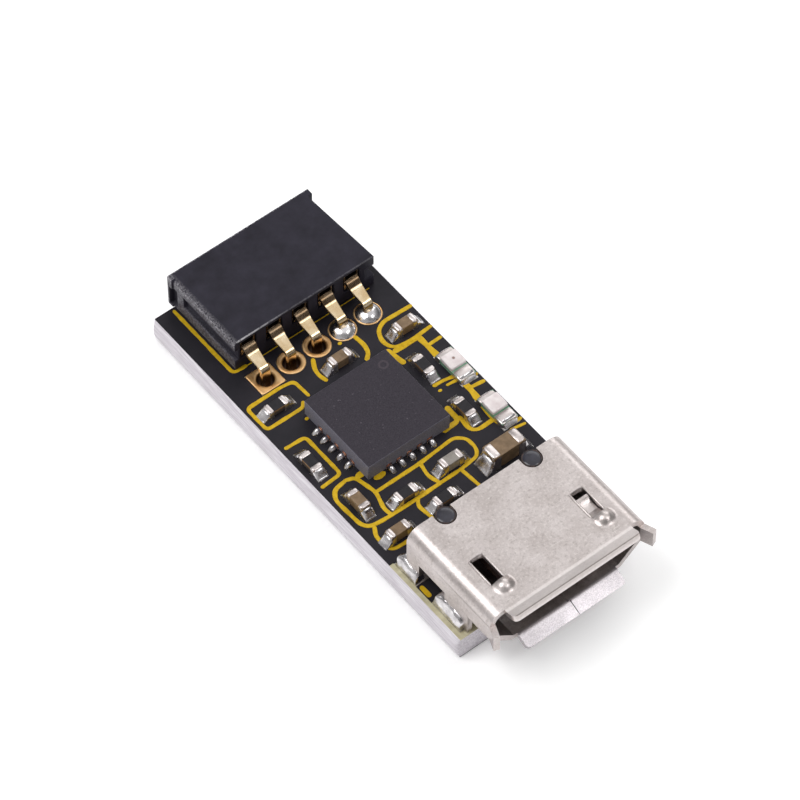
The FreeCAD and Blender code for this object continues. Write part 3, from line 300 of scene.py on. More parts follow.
def header_material():
    """Black moulding, pale and speckled where the longer strip was cut and worn; the pale specks along
    the top edges are partly wear and partly painted highlight.
    """
    n = Nodes("header_moulding")
    cloud = n.noise(1.2, 5, 0.6)
    speck = n.noise(15, 4, 0.7)
    left = n.span(n.part_of_place("X"), STRIP_LEFT + 0.1, STRIP_LEFT + 0.3, 1.0, 0.0)
    cut = n.math("MULTIPLY", left, n.span(n.facing("Y"), 0.2, 0.4, 1.0, 0.0))
    cut = n.math("MULTIPLY", cut, n.mix(n.span(n.facing_up(), 0.5, 0.9), "ffffff", "b0b0b0"))
    high = n.span(n.part_of_place("Z"), STRIP_TOP - 0.4, STRIP_TOP - 0.05)
    worn = n.mix(n.span(speck, 0.4, 0.7), "38353c", n.mix(high, "828087", "c6c3c8"))
    top = n.ramp(cloud, (0.3, "24222a"), (0.7, "302e38"))
    # Pale specks along the rear and front top edges, fading towards the right along the front: partly
    # wear, partly painted highlight.
    rear = n.math("MULTIPLY", n.band("Y", STRIP_REAR, 0.03, 0.05), n.span(speck, 0.5, 0.6))
    front = n.math("MULTIPLY", n.band("Y", STRIP_FRONT, 0.03, 0.04), n.span(speck, 0.36, 0.52))
    toward_left = n.span(n.part_of_place("X"), STRIP_LEFT + 0.4, STRIP_LEFT + 2.6, 1.0, 0.15)
    front = n.math("MULTIPLY", front, toward_left)
    edge = n.math("ADD", rear, front)
    edge = n.math("MULTIPLY", edge, n.span(n.part_of_place("Z"), STRIP_TOP - 0.06, STRIP_TOP - 0.02))
    n.bump(n.math("ADD", n.math("MULTIPLY", speck, cut), n.math("MULTIPLY", cloud, 0.3)), 0.4, 0.02)
    colour = n.mix(n.math("MULTIPLY", edge, 0.7), n.mix(cut, top, worn), "d8d6da")
    return n.set(
        Base_Color=colour, Roughness=n.span(cloud, 0.3, 0.7, 0.36, 0.48), Specular_IOR_Level=0.12)


def chip_material():
    """Matt moulding compound with the faint round mark of its first lead; its sides are painted lighter
    than its top, as a painted sheen.
    """
    n = Nodes("chip_moulding")
    grain = n.noise(20, 3, 0.6)
    speck = n.noise(9, 2, 0.5)
    # Painted sheen: the sides are painted a much lighter grey than the top.
    side = n.span(n.facing_up(), 0.5, 0.9, 1.0, 0.0)
    top = n.ramp(grain, (0.3, "312d34"), (0.7, "3e3a41"))
    top = n.mix(n.span(speck, 0.7, 0.76, 0.0, 0.6), top, "67626a")
    mark = spot(*CHIP_MARK)
    ring = n.math("ABSOLUTE", n.math("SUBTRACT", n.distance_from(mark.x, mark.y), MARK_RADIUS))
    top = n.mix(n.span(ring, 0.02, 0.06, 0.35, 0.0), top, "5b5258")
    n.bump(grain, 0.3, 0.012)
    return n.set(
        Base_Color=n.mix(side, top, n.ramp(grain, (0.3, "66656f"), (0.7, "85838f"))),
        Roughness=0.5, Specular_IOR_Level=0.12)


def moulding_material():
    n = Nodes("socket_moulding")
    cloud = n.noise(1.5, 3)
    stripe = n.noise(1.0, 2, 0.5, (5.0, 0.2, 0.2))
    n.bump(n.noise(12, 2), 0.2, 0.01)
    body = n.ramp(cloud, (0.3, "1a1719"), (0.7, "262224"))
    return n.set(
        Base_Color=n.mix(n.span(stripe, 0.4, 0.65), body, "463530"),
        Roughness=0.38, Specular_IOR_Level=0.3)


def post_material():
    n = Nodes("post_plastic")
    cloud = n.noise(3, 3)
    n.bump(n.noise(10, 2), 0.15, 0.01)
    return n.set(
        Base_Color=n.ramp(cloud, (0.3, "26252d"), (0.7, "33323c")), Roughness=0.2, Specular_IOR_Level=0.5)


def copper_material():
    n = Nodes("lead_copper")
    cloud = n.noise(4, 3)
    return n.set(
        Base_Color=n.ramp(cloud, (0.3, "eab094"), (0.7, "ffdcc6")), Metallic=1.0,
        Roughness=n.span(cloud, 0.3, 0.7, 0.25, 0.4))


def ceramic_material(name, low, high):
    n = Nodes(name)
    cloud = n.noise(3.5, 4, 0.6)
    n.bump(n.noise(16, 3), 0.25, 0.01)
    return n.set(
        Base_Color=n.ramp(cloud, (0.3, low), (0.7, high)), Roughness=0.38, Specular_IOR_Level=0.4)


def resistor_material():
    """Dark glaze on top of a white body whose sides are painted in shade, dark brown-grey and browner at
    their upper edge.
    """
    n = Nodes("resistor_glaze")
    cloud = n.noise(4, 3)
    top = n.span(n.facing_up(), 0.3, 0.7)
    rim = n.span(n.part_of_place("Z"), TOP + 0.2, TOP + 0.29)
    # Painted shade: the white body's sides are painted dark, browner towards their upper edge.
    side = n.mix(rim, n.ramp(cloud, (0.3, "3a332f"), (0.7, "5c5048")), "93704a")
    n.bump(cloud, 0.2, 0.01)
    return n.set(
        Base_Color=n.mix(top, side, n.ramp(cloud, (0.3, "161418"), (0.7, "211e23"))), Roughness=0.34,
        Specular_IOR_Level=0.3)


def lens_material():
    n = Nodes("lamp_lens")
    cloud = n.noise(3, 3)
    die = spot(*LAMP_DIE)
    n.bump(n.noise(8, 2), 0.15, 0.01)
    body = n.ramp(cloud, (0.3, "d8cccc"), (0.7, "ebe3e2"))
    return n.set(
        Base_Color=n.mix(n.span(n.distance_from(die.x, die.y), 0.04, 0.08, 0.85, 0.0), body, "7a5546"),
        Roughness=0.22, Subsurface_Weight=0.15,
        Subsurface_Radius=(0.3 * MM, 0.3 * MM, 0.3 * MM), Subsurface_Scale=1.0)


def lamp_base_material():
    n = Nodes("lamp_base")
    cloud = n.noise(3, 3)
    return n.set(Base_Color=n.ramp(cloud, (0.3, "4f8064"), (0.7, "86ab92")), Roughness=0.4)


def silk_material():
    n = Nodes("yellow_print")
    cloud = n.noise(5, 4, 0.6)
    n.bump(n.noise(18, 3), 0.3, 0.01)
    return n.set(
        Base_Color=n.ramp(cloud, (0.3, "b9950f"), (0.55, "cda71a"), (0.8, "d9b62c")),
        Roughness=0.45, Specular_IOR_Level=0.2)


# The strip's left end, rear, front and top, and the marks on the chip and in the lamps
strip_low, strip_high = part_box("header_housing")
STRIP_LEFT = strip_low.x / MM
STRIP_REAR = strip_high.y / MM
STRIP_FRONT = strip_low.y / MM
STRIP_TOP = strip_high.z / MM
CHIP_MARK = (5.26, 11.30)
MARK_RADIUS = 0.17
LAMP_DIE = (7.80, 10.12)

MATERIALS = {
    "board_core": board_material(),
    "solder_mask": mask_material(),
    "gold_plating": gold_pad_material(),
    "tinned_pad": solder_material("tinned_pad", "a9a6a5", "d2cfcd", 0.3, 0.45),
    "contact_gold": contact_material(),
    "shell_metal": shell_material(),
    "socket_plastic": moulding_material(),
    "solder": solder_material(),
    "header_plastic": header_material(),
    "chip_moulding": chip_material(),
    "lead_copper": copper_material(),
    "lamp_lens": lens_material(),
    "lamp_base": lamp_base_material(),
    "end_plating": solder_material("end_plating", "b9b0ae", "ddd5d3", 0.3, 0.42),
    "grey_ceramic": ceramic_material("grey_ceramic", "7d7670", "96908a"),
    "resistor_glaze": resistor_material(),
    "tan_ceramic": ceramic_material("tan_ceramic", "66523b", "866e53"),
}
LEG_FINISH = solder_material("leg_solder_metal", "949092", "f0edee", 0.14, 0.3)
FILLET_FINISH = solder_material("fillet_solder", "b3afb1", "e8e5e6", 0.2, 0.32)
# The pads of the small parts look tinned, whatever their slot
SLOT_OF = {row["node"]: row["material_slot"] for row in frame["record"]["subparts"]}
SLOT_OF_FINISH = dict(SLOT_OF, component_pads="tinned_pad")
for name, item in nodes.items():
    for place in item.material_slots:
        place.material = MATERIALS[SLOT_OF_FINISH[name]]


# Pieces made here, in millimetres until they are finished
def dress(piece, slot, replaced, smooth_angle, material=None):
    """Gives a piece its finish, its body and the nodes that it stands for."""
    piece.data.materials.clear()
    piece.data.materials.append(material or MATERIALS[slot])
    piece.data.shade_smooth()
    piece.data.set_sharp_from_angle(angle=math.radians(smooth_angle))
    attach(piece, "root")
    if replaced:
        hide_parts(*replaced)
    return piece


def finish_piece(name, data, slot, replaced=(), smooth_angle=50, material=None):
    """Turns a bmesh in millimetres into a piece of the object."""
    bmesh.ops.recalc_face_normals(data, faces=data.faces)
    bmesh.ops.transform(data, matrix=Matrix.Scale(MM, 4), verts=data.verts)
    mesh = bpy.data.meshes.new(name)
    data.to_mesh(mesh)
    data.free()
    piece = bpy.data.objects.new(name, mesh)
    scene.collection.objects.link(piece)
    return dress(piece, slot, replaced, smooth_angle, material)


# Edges that turn by more than this many degrees are eased, in this many steps
EASE_ANGLE = 30
EASE_STEPS = 2


def eased(node, radius=0.0, even=True, adjust=None):
    """The node's own shape with its sharp edges eased and its flats shaded flat."""
    data = bmesh.new()
    data.from_mesh(nodes[node].data)
    bmesh.ops.remove_doubles(data, verts=data.verts, dist=1e-7)
    bmesh.ops.dissolve_limit(data, angle_limit=math.radians(0.4), verts=data.verts, edges=data.edges)
    if adjust:
        for vert in data.verts:
            adjust(vert)
    mesh = bpy.data.meshes.new(node + "_eased")
    data.to_mesh(mesh)
    data.free()
    piece = bpy.data.objects.new(node + "_eased", mesh)
    scene.collection.objects.link(piece)
    if radius:
        bevel = piece.modifiers.new("ease", "BEVEL")
        bevel.limit_method = "ANGLE"
        bevel.angle_limit = math.radians(EASE_ANGLE)
        bevel.width = radius * MM
        bevel.segments = EASE_STEPS
        bevel.use_clamp_overlap = False
    dress(piece, SLOT_OF[node], (node,), 35)
    if even:
        weighted = piece.modifiers.new("even_normals", "WEIGHTED_NORMAL")
        weighted.keep_sharp = True
        weighted.weight = 90
    return piece


def roughen(data, first, amount, rate):
    """Small uneven moves of the points from first on, none at the board."""
    for vert in list(data.verts)[first:]:
        share = min(max((vert.co.z - TOP) / 0.12, 0.0), 1.0)
        vert.co += noise.noise_vector(vert.co * rate) * amount * share


def loft(data, origin, outward, stations, sides=16, uneven=0.0, rate=4.0):
    """A closed form along a level direction: each station is its way, width, height and squareness."""
    out = Vector((outward[0], outward[1], 0))
    across = Vector((-outward[1], outward[0], 0))
    first = len(data.verts)
    rows = []
    for way, width, height, power in stations:
        row = []
        for i in range(sides + 1):
            c = math.cos(math.pi * i / sides)
            s = math.sin(math.pi * i / sides)
            aside = width / 2 * math.copysign(abs(c) ** (2 / power), c)
            rise = height * max(s, 0.0) ** (2 / power)
            row.append(data.verts.new(origin + out * way + across * aside + Vector((0, 0, rise))))
        rows.append(row)
    for near, far in zip(rows, rows[1:]):
        for i in range(sides):
            data.faces.new((near[i], near[i + 1], far[i + 1], far[i]))
        data.faces.new((near[0], far[0], far[-1], near[-1]))
    data.faces.new(rows[0])
    data.faces.new(rows[-1][::-1])
    roughen(data, first, uneven, rate)


def cap_stations(length, width, height, soft=0.05):
    """A plated end: square, with its outer edges worn round."""
    return [
        (0.0, width - 0.03, height - 0.015, 9), (0.02, width, height, 9),
        (length - 1.6 * soft, width, height, 8), (length - 0.7 * soft, width - 0.02, height - 0.014, 7),
        (length - 0.2 * soft, width - 0.05, height - 0.04, 6), (length, width - 0.1, height - 0.08, 5)]


# Stations along a fillet of solder
BLOB_STEPS = 9


def blob_stations(reach, width, height, tip=0.35):
    """Solder: full beside the terminal, then hollow, with a round tip."""
    rows = []
    for i in range(BLOB_STEPS + 1):
        t = i / BLOB_STEPS
        rise = height * (1 - t) ** 1.3 * (1 + 0.45 * math.sin(math.pi * t)) + 0.014
        narrow = 1 - tip * t ** 3
        if i == BLOB_STEPS:
            narrow = 1 - 1.6 * tip
        rows.append((-0.03 + (reach + 0.03) * t, width * narrow, rise, 3.4 - 1.2 * t))
    return rows


def lathe(data, centre, profile, share=None, steps=48):
    """Turns a closed profile of radius and height about an upright axis."""
    rows = []
    for i in range(steps):
        angle = 2 * math.pi * i / steps
        row = []
        for radius, height in profile:
            grown = radius * (share(angle, radius) if share else 1.0)
            turned = Vector((grown * math.cos(angle), grown * math.sin(angle), height))
            row.append(data.verts.new(centre + turned))
        rows.append(row)
    count = len(profile)
    for i in range(steps):
        near, far = rows[i], rows[(i + 1) % steps]
        for j in range(count):
            k = (j + 1) % count
            data.faces.new((near[j], far[j], far[k], near[k]))


# Terminals and solder of the small parts, each from the box of its plated ends
PARTS = {
    "capacitor": dict(numbers=range(1, 6), end=0.24, reach=0.3, solder=0.36),
    "resistor": dict(numbers=range(1, 7), end=0.24, reach=0.3, solder=0.3),
    "storage_capacitor": dict(numbers=(None,), end=0.36, reach=0.36, solder=0.52),
}
solder_data = bmesh.new()


def make_terminals(label, end, reach, solder):
    low, high = (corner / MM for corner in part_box(label + "_ends"))
    middle = (low + high) / 2
    along = 0 if high.x - low.x > high.y - low.y else 1
    length = high[along] - low[along]
    width = high[1 - along] - low[1 - along]
    height = high.z - TOP
    data = bmesh.new()
    for side in (-1, 1):
        outward = (side, 0) if along == 0 else (0, side)
        way = Vector((outward[0], outward[1], 0))
        foot = Vector((middle.x, middle.y, TOP))
        loft(data, foot + way * (length / 2 - end), outward, cap_stations(end, width, height))
        loft(
            solder_data, foot + way * (length / 2), outward,
            blob_stations(reach + 0.02, width * 1.08, solder, tip=0.13), uneven=0.012, rate=2.2)
    finish_piece(label + "_terminals", data, "end_plating", (label + "_ends",))
    eased(label + "_body", 0.025)


for family, facts in PARTS.items():
    for number in facts["numbers"]:
        label = family if number is None else "%s_%d" % (family, number)
        make_terminals(label, facts["end"], facts["reach"], facts["solder"])


# Lamps: two plated ends with a milky lens between, and a green line beside it
LAMP_NEAR_END = 0.54
LAMP_FAR_END = 0.28
LAMP_REACH = 0.12
# How far the solder starts inside the near end
LAMP_SINK = 0.12


def make_lamp(label):
    low, high = (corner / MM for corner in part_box(label + "_ends"))
    middle_x = (low.x + high.x) / 2
    width = high.x - low.x
    height = high.z - TOP
    data = bmesh.new()
    near = Vector((middle_x, low.y + LAMP_NEAR_END, TOP))
    loft(data, near, (0, -1), cap_stations(LAMP_NEAR_END, width, height, 0.04), uneven=0.012, rate=2.0)
    far = Vector((middle_x, high.y - LAMP_FAR_END, TOP))
    loft(data, far, (0, 1), cap_stations(LAMP_FAR_END, width, height, 0.04))
    finish_piece(label + "_terminals", data, "end_plating", (label + "_ends",))
    loft(
        solder_data, Vector((middle_x, low.y + LAMP_SINK, TOP)), (0, -1),
        blob_stations(LAMP_REACH + LAMP_SINK, width * 0.98, height + 0.07), uneven=0.015, rate=2.6)
    loft(
        solder_data, Vector((middle_x, high.y, TOP)), (0, 1), blob_stations(LAMP_REACH, width, height),
        uneven=0.012, rate=2.6)
    lens_low, lens_high = (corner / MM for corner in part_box(label + "_lens"))
    data = bmesh.new()
    long = lens_high.y - lens_low.y
    tall = lens_high.z - lens_low.z
    wide = lens_high.x - lens_low.x
    foot = Vector((middle_x, lens_low.y, lens_low.z))
    loft(data, foot, (0, 1), [
        (0.0, wide - 0.06, 0.36 * tall, 9), (0.03, wide - 0.02, 0.44 * tall, 10),
        (0.1, wide, 0.5 * tall, 10), (0.4, wide, 0.58 * tall, 10), (long - 0.06, wide, 0.6 * tall, 10),
        (long - 0.02, wide - 0.03, 0.56 * tall, 10), (long, wide - 0.08, 0.45 * tall, 9)], sides=24)
    finish_piece(label + "_lens_cap", data, "lamp_lens", (label + "_lens",))


make_lamp("receive_lamp")
make_lamp("transmit_lamp")


# Solder of the chip's leads and of the wires of the USB socket
CHIP_LEAD_PITCH = 0.5
CHIP_LEADS_A_SIDE = 5
# The solder of one lead: way out, width, height and squareness
LEAD_SOLDER = (
    (-0.02, 0.19, 0.11, 2.3), (0.02, 0.235, 0.165, 2.3), (0.07, 0.265, 0.215, 2.2),
    (0.14, 0.28, 0.235, 2.1), (0.21, 0.275, 0.215, 2.1), (0.28, 0.25, 0.165, 2.1),
    (0.34, 0.2, 0.105, 2.1), (0.385, 0.13, 0.05, 2.1), (0.4, 0.05, 0.015, 2.1))
chip_low, chip_high = (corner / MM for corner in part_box("converter_chip"))
chip_middle = (chip_low + chip_high) / 2
half_chip = (chip_high.x - chip_low.x) / 2
for out_x, out_y in ((1, 0), (0, 1), (-1, 0), (0, -1)):
    for step in range(CHIP_LEADS_A_SIDE):
        shift = (step - CHIP_LEADS_A_SIDE // 2) * CHIP_LEAD_PITCH
        foot = Vector((
            chip_middle.x + out_x * half_chip + out_y * shift,
            chip_middle.y + out_y * half_chip + out_x * shift, TOP))
        loft(solder_data, foot, (out_x, out_y), LEAD_SOLDER, sides=12, uneven=0.01, rate=3.0)
for number in USB_CONTACTS:
    wire_low, wire_high = (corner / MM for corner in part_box("usb_contact_%d" % number))
    foot = Vector(((wire_low.x + wire_high.x) / 2, wire_high.y, TOP))
    loft(solder_data, foot, (0, 1), blob_stations(0.24, 0.3, 0.13), sides=12, uneven=0.008, rate=3.0)
finish_piece("solder_of_parts", solder_data, "solder", ("component_solder",), 75, FILLET_FINISH)


# Solder at the legs of the shell: the middle's way from the front edge, length and height
LEGS = ((3.58, 1.26, 0.52), (1.13, 1.66, 0.66))
SHELL_HALF = 3.75
LEG_SINK = 0.02


def leg_stations(length, height):
    """Full and steep beside the leg, with a thin foot."""
    return [
        (-0.2, 0.98 * length, 1.08 * height, 4.0), (-0.05, length, 1.05 * height, 4.0),
        (0.02, length, 1.0 * height, 4.2), (0.07, length, 0.94 * height, 4.4),
        (0.11, length, 0.85 * height, 4.6), (0.15, length, 0.72 * height, 4.8),
        (0.18, length, 0.55 * height, 5.0), (0.205, length, 0.33 * height, 5.2),
        (0.22, 0.99 * length, 0.03, 5.4)]


def make_leg_solder():
    data = bmesh.new()
    for side in (-1, 1):
        for middle_y, length, height in LEGS:
            edge = Vector((0, FRONT + middle_y, TOP))
            edge.x = LEFT + BOARD_WIDTH / 2 + side * (SHELL_HALF - LEG_SINK)
            loft(data, edge, (side, 0), leg_stations(length, height), sides=44, uneven=0.085, rate=3.0)
    finish_piece("leg_solder", data, "solder", ("usb_shell_solder",), 75, LEG_FINISH)


# Plated holes: the pad dips towards its hole inside a raised rim
HOLE_PROFILE = (
    (0.35, -1.14), (0.35, -0.12), (0.357, -0.06), (0.375, -0.02), (0.40, 0.0), (0.44, 0.012),
    (0.50, 0.02), (0.545, 0.02), (0.57, 0.012), (0.58, 0.0), (0.58, -0.04), (0.38, -0.05),
    (0.38, -1.15), (0.58, -1.16), (0.58, -1.2), (0.37, -1.2))
# Steps round a hole
HOLE_STEPS = 64
# The first pad turns square from this radius on, over this width
SQUARE_POWER = 22
SQUARE_FROM = 0.40
SQUARE_RUN = 0.09


def square_share(angle, radius):
    """How far a rounded square reaches past a circle, growing from the hole to the rim."""
    total = abs(math.cos(angle)) ** SQUARE_POWER + abs(math.sin(angle)) ** SQUARE_POWER
    reach = total ** (-1 / SQUARE_POWER)
    grown = min(max((radius - SQUARE_FROM) / SQUARE_RUN, 0.0), 1.0)
    return 1 + (reach - 1) * grown


def make_hole(number):
    low, high = (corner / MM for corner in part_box("plated_hole_%d" % number))
    centre = Vector(((low.x + high.x) / 2, (low.y + high.y) / 2, TOP))
    data = bmesh.new()
    lathe(data, centre, HOLE_PROFILE, square_share if number == 1 else None, HOLE_STEPS)
    finish_piece("plated_hole_%d_dished" % number, data, "gold_plating", ("plated_hole_%d" % number,))


DOME_PROFILE = (
    (0.0, -0.3), (0.33, -0.3), (0.33, -0.02), (0.53, 0.012), (0.515, 0.04), (0.47, 0.085),
    (0.41, 0.135), (0.33, 0.19), (0.24, 0.235), (0.13, 0.265), (0.0, 0.275))


def make_dome(number):
    low, high = (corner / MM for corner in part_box("header_solder_%d" % number))
    centre = Vector(((low.x + high.x) / 2, (low.y + high.y) / 2, TOP))
    data = bmesh.new()
    lathe(data, centre, DOME_PROFILE)
    bmesh.ops.remove_doubles(data, verts=data.verts, dist=1e-4)
    roughen(data, 0, 0.03, 2.4)
    finish_piece("header_solder_%d_dome" % number, data, "solder", ("header_solder_%d" % number,))


make_leg_solder()
for number in HOLES:
    make_hole(number)
    eased("header_contact_%d" % number, 0.02, even=False)
for number in SOLDERED_HOLES:
    make_dome(number)


# Printed lines on the mask, as they run in the photograph: a width and the corners
LINES = (
    (0.17, ((0.82, 18.9), (0.82, 15.1), (1.4, 15.08))),
    (0.05, ((1.4, 15.06), (7.5, 15.06))),
    (0.17, ((2.46, 12.47), (2.42, 13.33), (1.84, 13.42), (0.19, 13.41), (0.2, 12.14), (1.93, 12.12),
            (2.08, 12.3))),
    (0.19, ((3.63, 13.66), (3.42, 13.3), (3.36, 12.95), (3.44, 12.61))),
    (0.19, ((5.61, 13.5), (5.66, 13.0), (5.55, 12.6), (5.32, 12.4))),
    (0.17, ((0.25, 11.0), (1.15, 10.96), (1.16, 8.76), (0.24, 8.7))),
    (0.18, ((0.93, 8.37), (0.49, 8.3), (0.24, 7.9), (0.30, 6.45), (0.5, 6.15), (0.95, 6.07),
            (1.51, 6.04), (2.78, 6.03), (5.0, 6.06))),
    (0.18, ((1.1, 8.4), (1.48, 8.28), (1.69, 7.25), (1.45, 6.45), (1.5, 6.1))),
    (0.17, ((1.66, 7.25), (3.85, 7.25), (5.6, 7.38), (5.98, 7.05), (6.0, 6.5), (5.8, 6.15),
            (4.9, 6.06))),
    (0.17, ((3.85, 7.26), (3.72, 6.59), (3.87, 6.1))),
    (0.17, ((2.75, 6.0), (2.55, 5.74), (2.64, 5.0))),
    (0.17, ((4.9, 6.05), (5.0, 4.9))),
    (0.17, ((0.62, 5.98), (0.42, 5.65), (0.42, 5.0), (0.6, 4.75), (1.7, 4.7), (2.3, 4.75))),
    (0.19, ((8.22, 13.37), (6.9, 13.42), (6.5, 13.2), (6.31, 12.75), (6.36, 12.35), (6.62, 12.1),
            (7.4, 12.04), (8.22, 12.1))),
    (0.27, ((6.45, 12.02), (7.5, 12.0))),
    (0.26, ((6.2, 12.16), (6.26, 11.75), (6.32, 11.42))),
    (0.26, ((7.55, 12.0), (7.58, 9.94), (7.56, 8.69), (7.4, 7.4), (7.44, 6.84), (7.56, 6.55))),
    (0.16, ((7.52, 6.62), (7.7, 6.5), (8.2, 6.5))),
    (0.17, ((7.66, 11.44), (8.2, 11.45))),
    (0.17, ((6.58, 9.77), (7.0, 9.75), (7.5, 9.63))),
    (0.14, ((7.0, 9.48), (7.5, 9.43))),
    (0.17, ((7.6, 9.2), (8.2, 9.2))),
    (0.17, ((7.6, 8.84), (8.2, 8.76))),
    (0.24, ((6.3, 8.6), (6.28, 7.9), (5.56, 7.86))),
    (0.2, ((6.4, 7.95), (6.34, 7.3), (6.6, 7.08), (7.3, 7.1))),
    (0.13, ((7.6, 6.3), (8.18, 6.2))),
    (0.2, ((0.335, 2.3), (0.335, 2.72))),
)
# Printed dots: the middle and the half sizes
OVALS = (
    (1.75, 8.26, 0.26, 0.15), (2.28, 7.76, 0.28, 0.15), (1.73, 11.61, 0.09, 0.08),
    (4.95, 13.65, 0.09, 0.08), (6.6, 9.45, 0.09, 0.07), (1.02, 8.38, 0.1, 0.09))
OVAL_STEPS = 10
# How far from a corner its rounding starts, and in how many steps it turns
LINE_CUT = 0.2
LINE_TURNS = 5
# How far the print sinks into the mask and stands out of it, and how far apart its rows are
PRINT_SINK = 0.004
PRINT_LIFT = 0.013
OVAL_LIFT = 0.016
PRINT_GAP = 0.09
PRINT_UNEVEN = 0.22
# Lines that cross lie in layers, each this much higher than the one before
PRINT_LAYERS = 7
LAYER_LIFT = 0.0015
# The round end of a line: how far out and how wide, as shares of its half width
ROUND_END = ((0.45, 0.9), (0.8, 0.62), (0.98, 0.25))


def rounded_path(points):
    """The same line with its corners drawn round."""
    path = [points[0]]
    for before, corner, after in zip(points, points[1:], points[2:]):
        back = before - corner
        ahead = after - corner
        first = corner + back * min(LINE_CUT / back.length, 0.48)
        last = corner + ahead * min(LINE_CUT / ahead.length, 0.48)
        for i in range(LINE_TURNS + 1):
            t = i / LINE_TURNS
            path.append(first * (1 - t) ** 2 + corner * 2 * t * (1 - t) + last * t * t)
    path.append(points[-1])
    return path


def spaced(path, gap):
    """Points along a line no further apart than gap."""
    found = [path[0]]
    for start, stop in zip(path, path[1:]):
        count = max(1, math.ceil((stop - start).length / gap))
        found += [start.lerp(stop, i / count) for i in range(1, count + 1)]
    return found


def print_strip(data, rows, lift):
    """A thin strip of print: each row has a middle, a direction across and a half width."""
    quads = []
    for middle, across, half in rows:
        top = middle + Vector((0, 0, lift))
        edge = across * half
        inner = across * max(half - 0.012, half * 0.6)
        corners = (middle - edge, top - inner, top + inner, middle + edge)
        quads.append([data.verts.new(corner) for corner in corners])
    for near, far in zip(quads, quads[1:]):
        for i in range(4):
            k = (i + 1) % 4
            data.faces.new((near[i], near[k], far[k], far[i]))
    data.faces.new(quads[0])
    data.faces.new(quads[-1][::-1])


def make_print():
    data = bmesh.new()
    for index, (width, corners) in enumerate(LINES):
        path = spaced(rounded_path([spot(x, y, -PRINT_SINK) for x, y in corners]), PRINT_GAP)
        rows = []
        last = len(path) - 1
        for i, point in enumerate(path):
            ahead = (path[min(i + 1, last)] - path[max(i - 1, 0)]).normalized()
            across = Vector((-ahead.y, ahead.x, 0))
            uneven = 1 + PRINT_UNEVEN * noise.noise(point * 3.1)
            rows.append((point, across, width / 2 * uneven))
        first_way = (path[0] - path[1]).normalized()
        last_way = (path[last] - path[last - 1]).normalized()
        head = [(path[0] + first_way * width * 0.5 * s, rows[0][1], rows[0][2] * c)
                for s, c in ROUND_END[::-1]]
        tail = [(path[last] + last_way * width * 0.5 * s, rows[last][1], rows[last][2] * c)
                for s, c in ROUND_END]
        print_strip(data, head + rows + tail, PRINT_LIFT + LAYER_LIFT * (index % PRINT_LAYERS))
    for x, y, half_x, half_y in OVALS:
        rows = []
        for i in range(OVAL_STEPS + 1):
            angle = math.pi * (i + 0.15) / (OVAL_STEPS + 0.3)
            middle = spot(x - half_x * math.cos(angle), y, -PRINT_SINK)
            rows.append((middle, Vector((0, 1, 0)), half_y * math.sin(angle)))
        print_strip(data, rows, OVAL_LIFT)
    finish_piece("printed_lines", data, "solder_mask", (), 30, silk_material())


make_print()


# Heads of the two posts that show at the rear of the shell
POST_SPREAD = 2.09
POST_Y = 3.48
POST_PROFILE = (
    (0.0, -0.3), (0.395, -0.3), (0.4, -0.08), (0.385, -0.03), (0.35, 0.0), (0.28, 0.02), (0.15, 0.03),
    (0.0, 0.032))


def make_posts():
    data = bmesh.new()
    for side in (-1, 1):
        centre = spot(BOARD_WIDTH / 2 + side * POST_SPREAD, POST_Y)
        centre.z = SHELL_TOP
        lathe(data, centre, POST_PROFILE)
    bmesh.ops.remove_doubles(data, verts=data.verts, dist=1e-4)
    finish_piece("post_heads", data, "socket_plastic", (), 60, post_material())


make_posts()


# Board: its long edges were snapped off a panel, so they bulge and are rough
BOARD_THICK = 1.2
BOARD_STEPS = 48
EDGE_ROUGH = 0.1
COAT = 0.04
BULGE = 0.17
BULGE_SHAPE = 0.6
BORE = 0.39
SIDE_STEPS = 12
board_length = (mask_high.y - mask_low.y) / MM


def board_stations():
    """Ways along the board, close together where its corners turn."""
    turn = [BULGE * share for share in (0.0, 0.07, 0.25, 0.55, 1.0)]
    span = board_length - 2 * BULGE
    middle = [BULGE + span * i / BOARD_STEPS for i in range(1, BOARD_STEPS)]
    return turn + middle + [board_length - way for way in reversed(turn)]


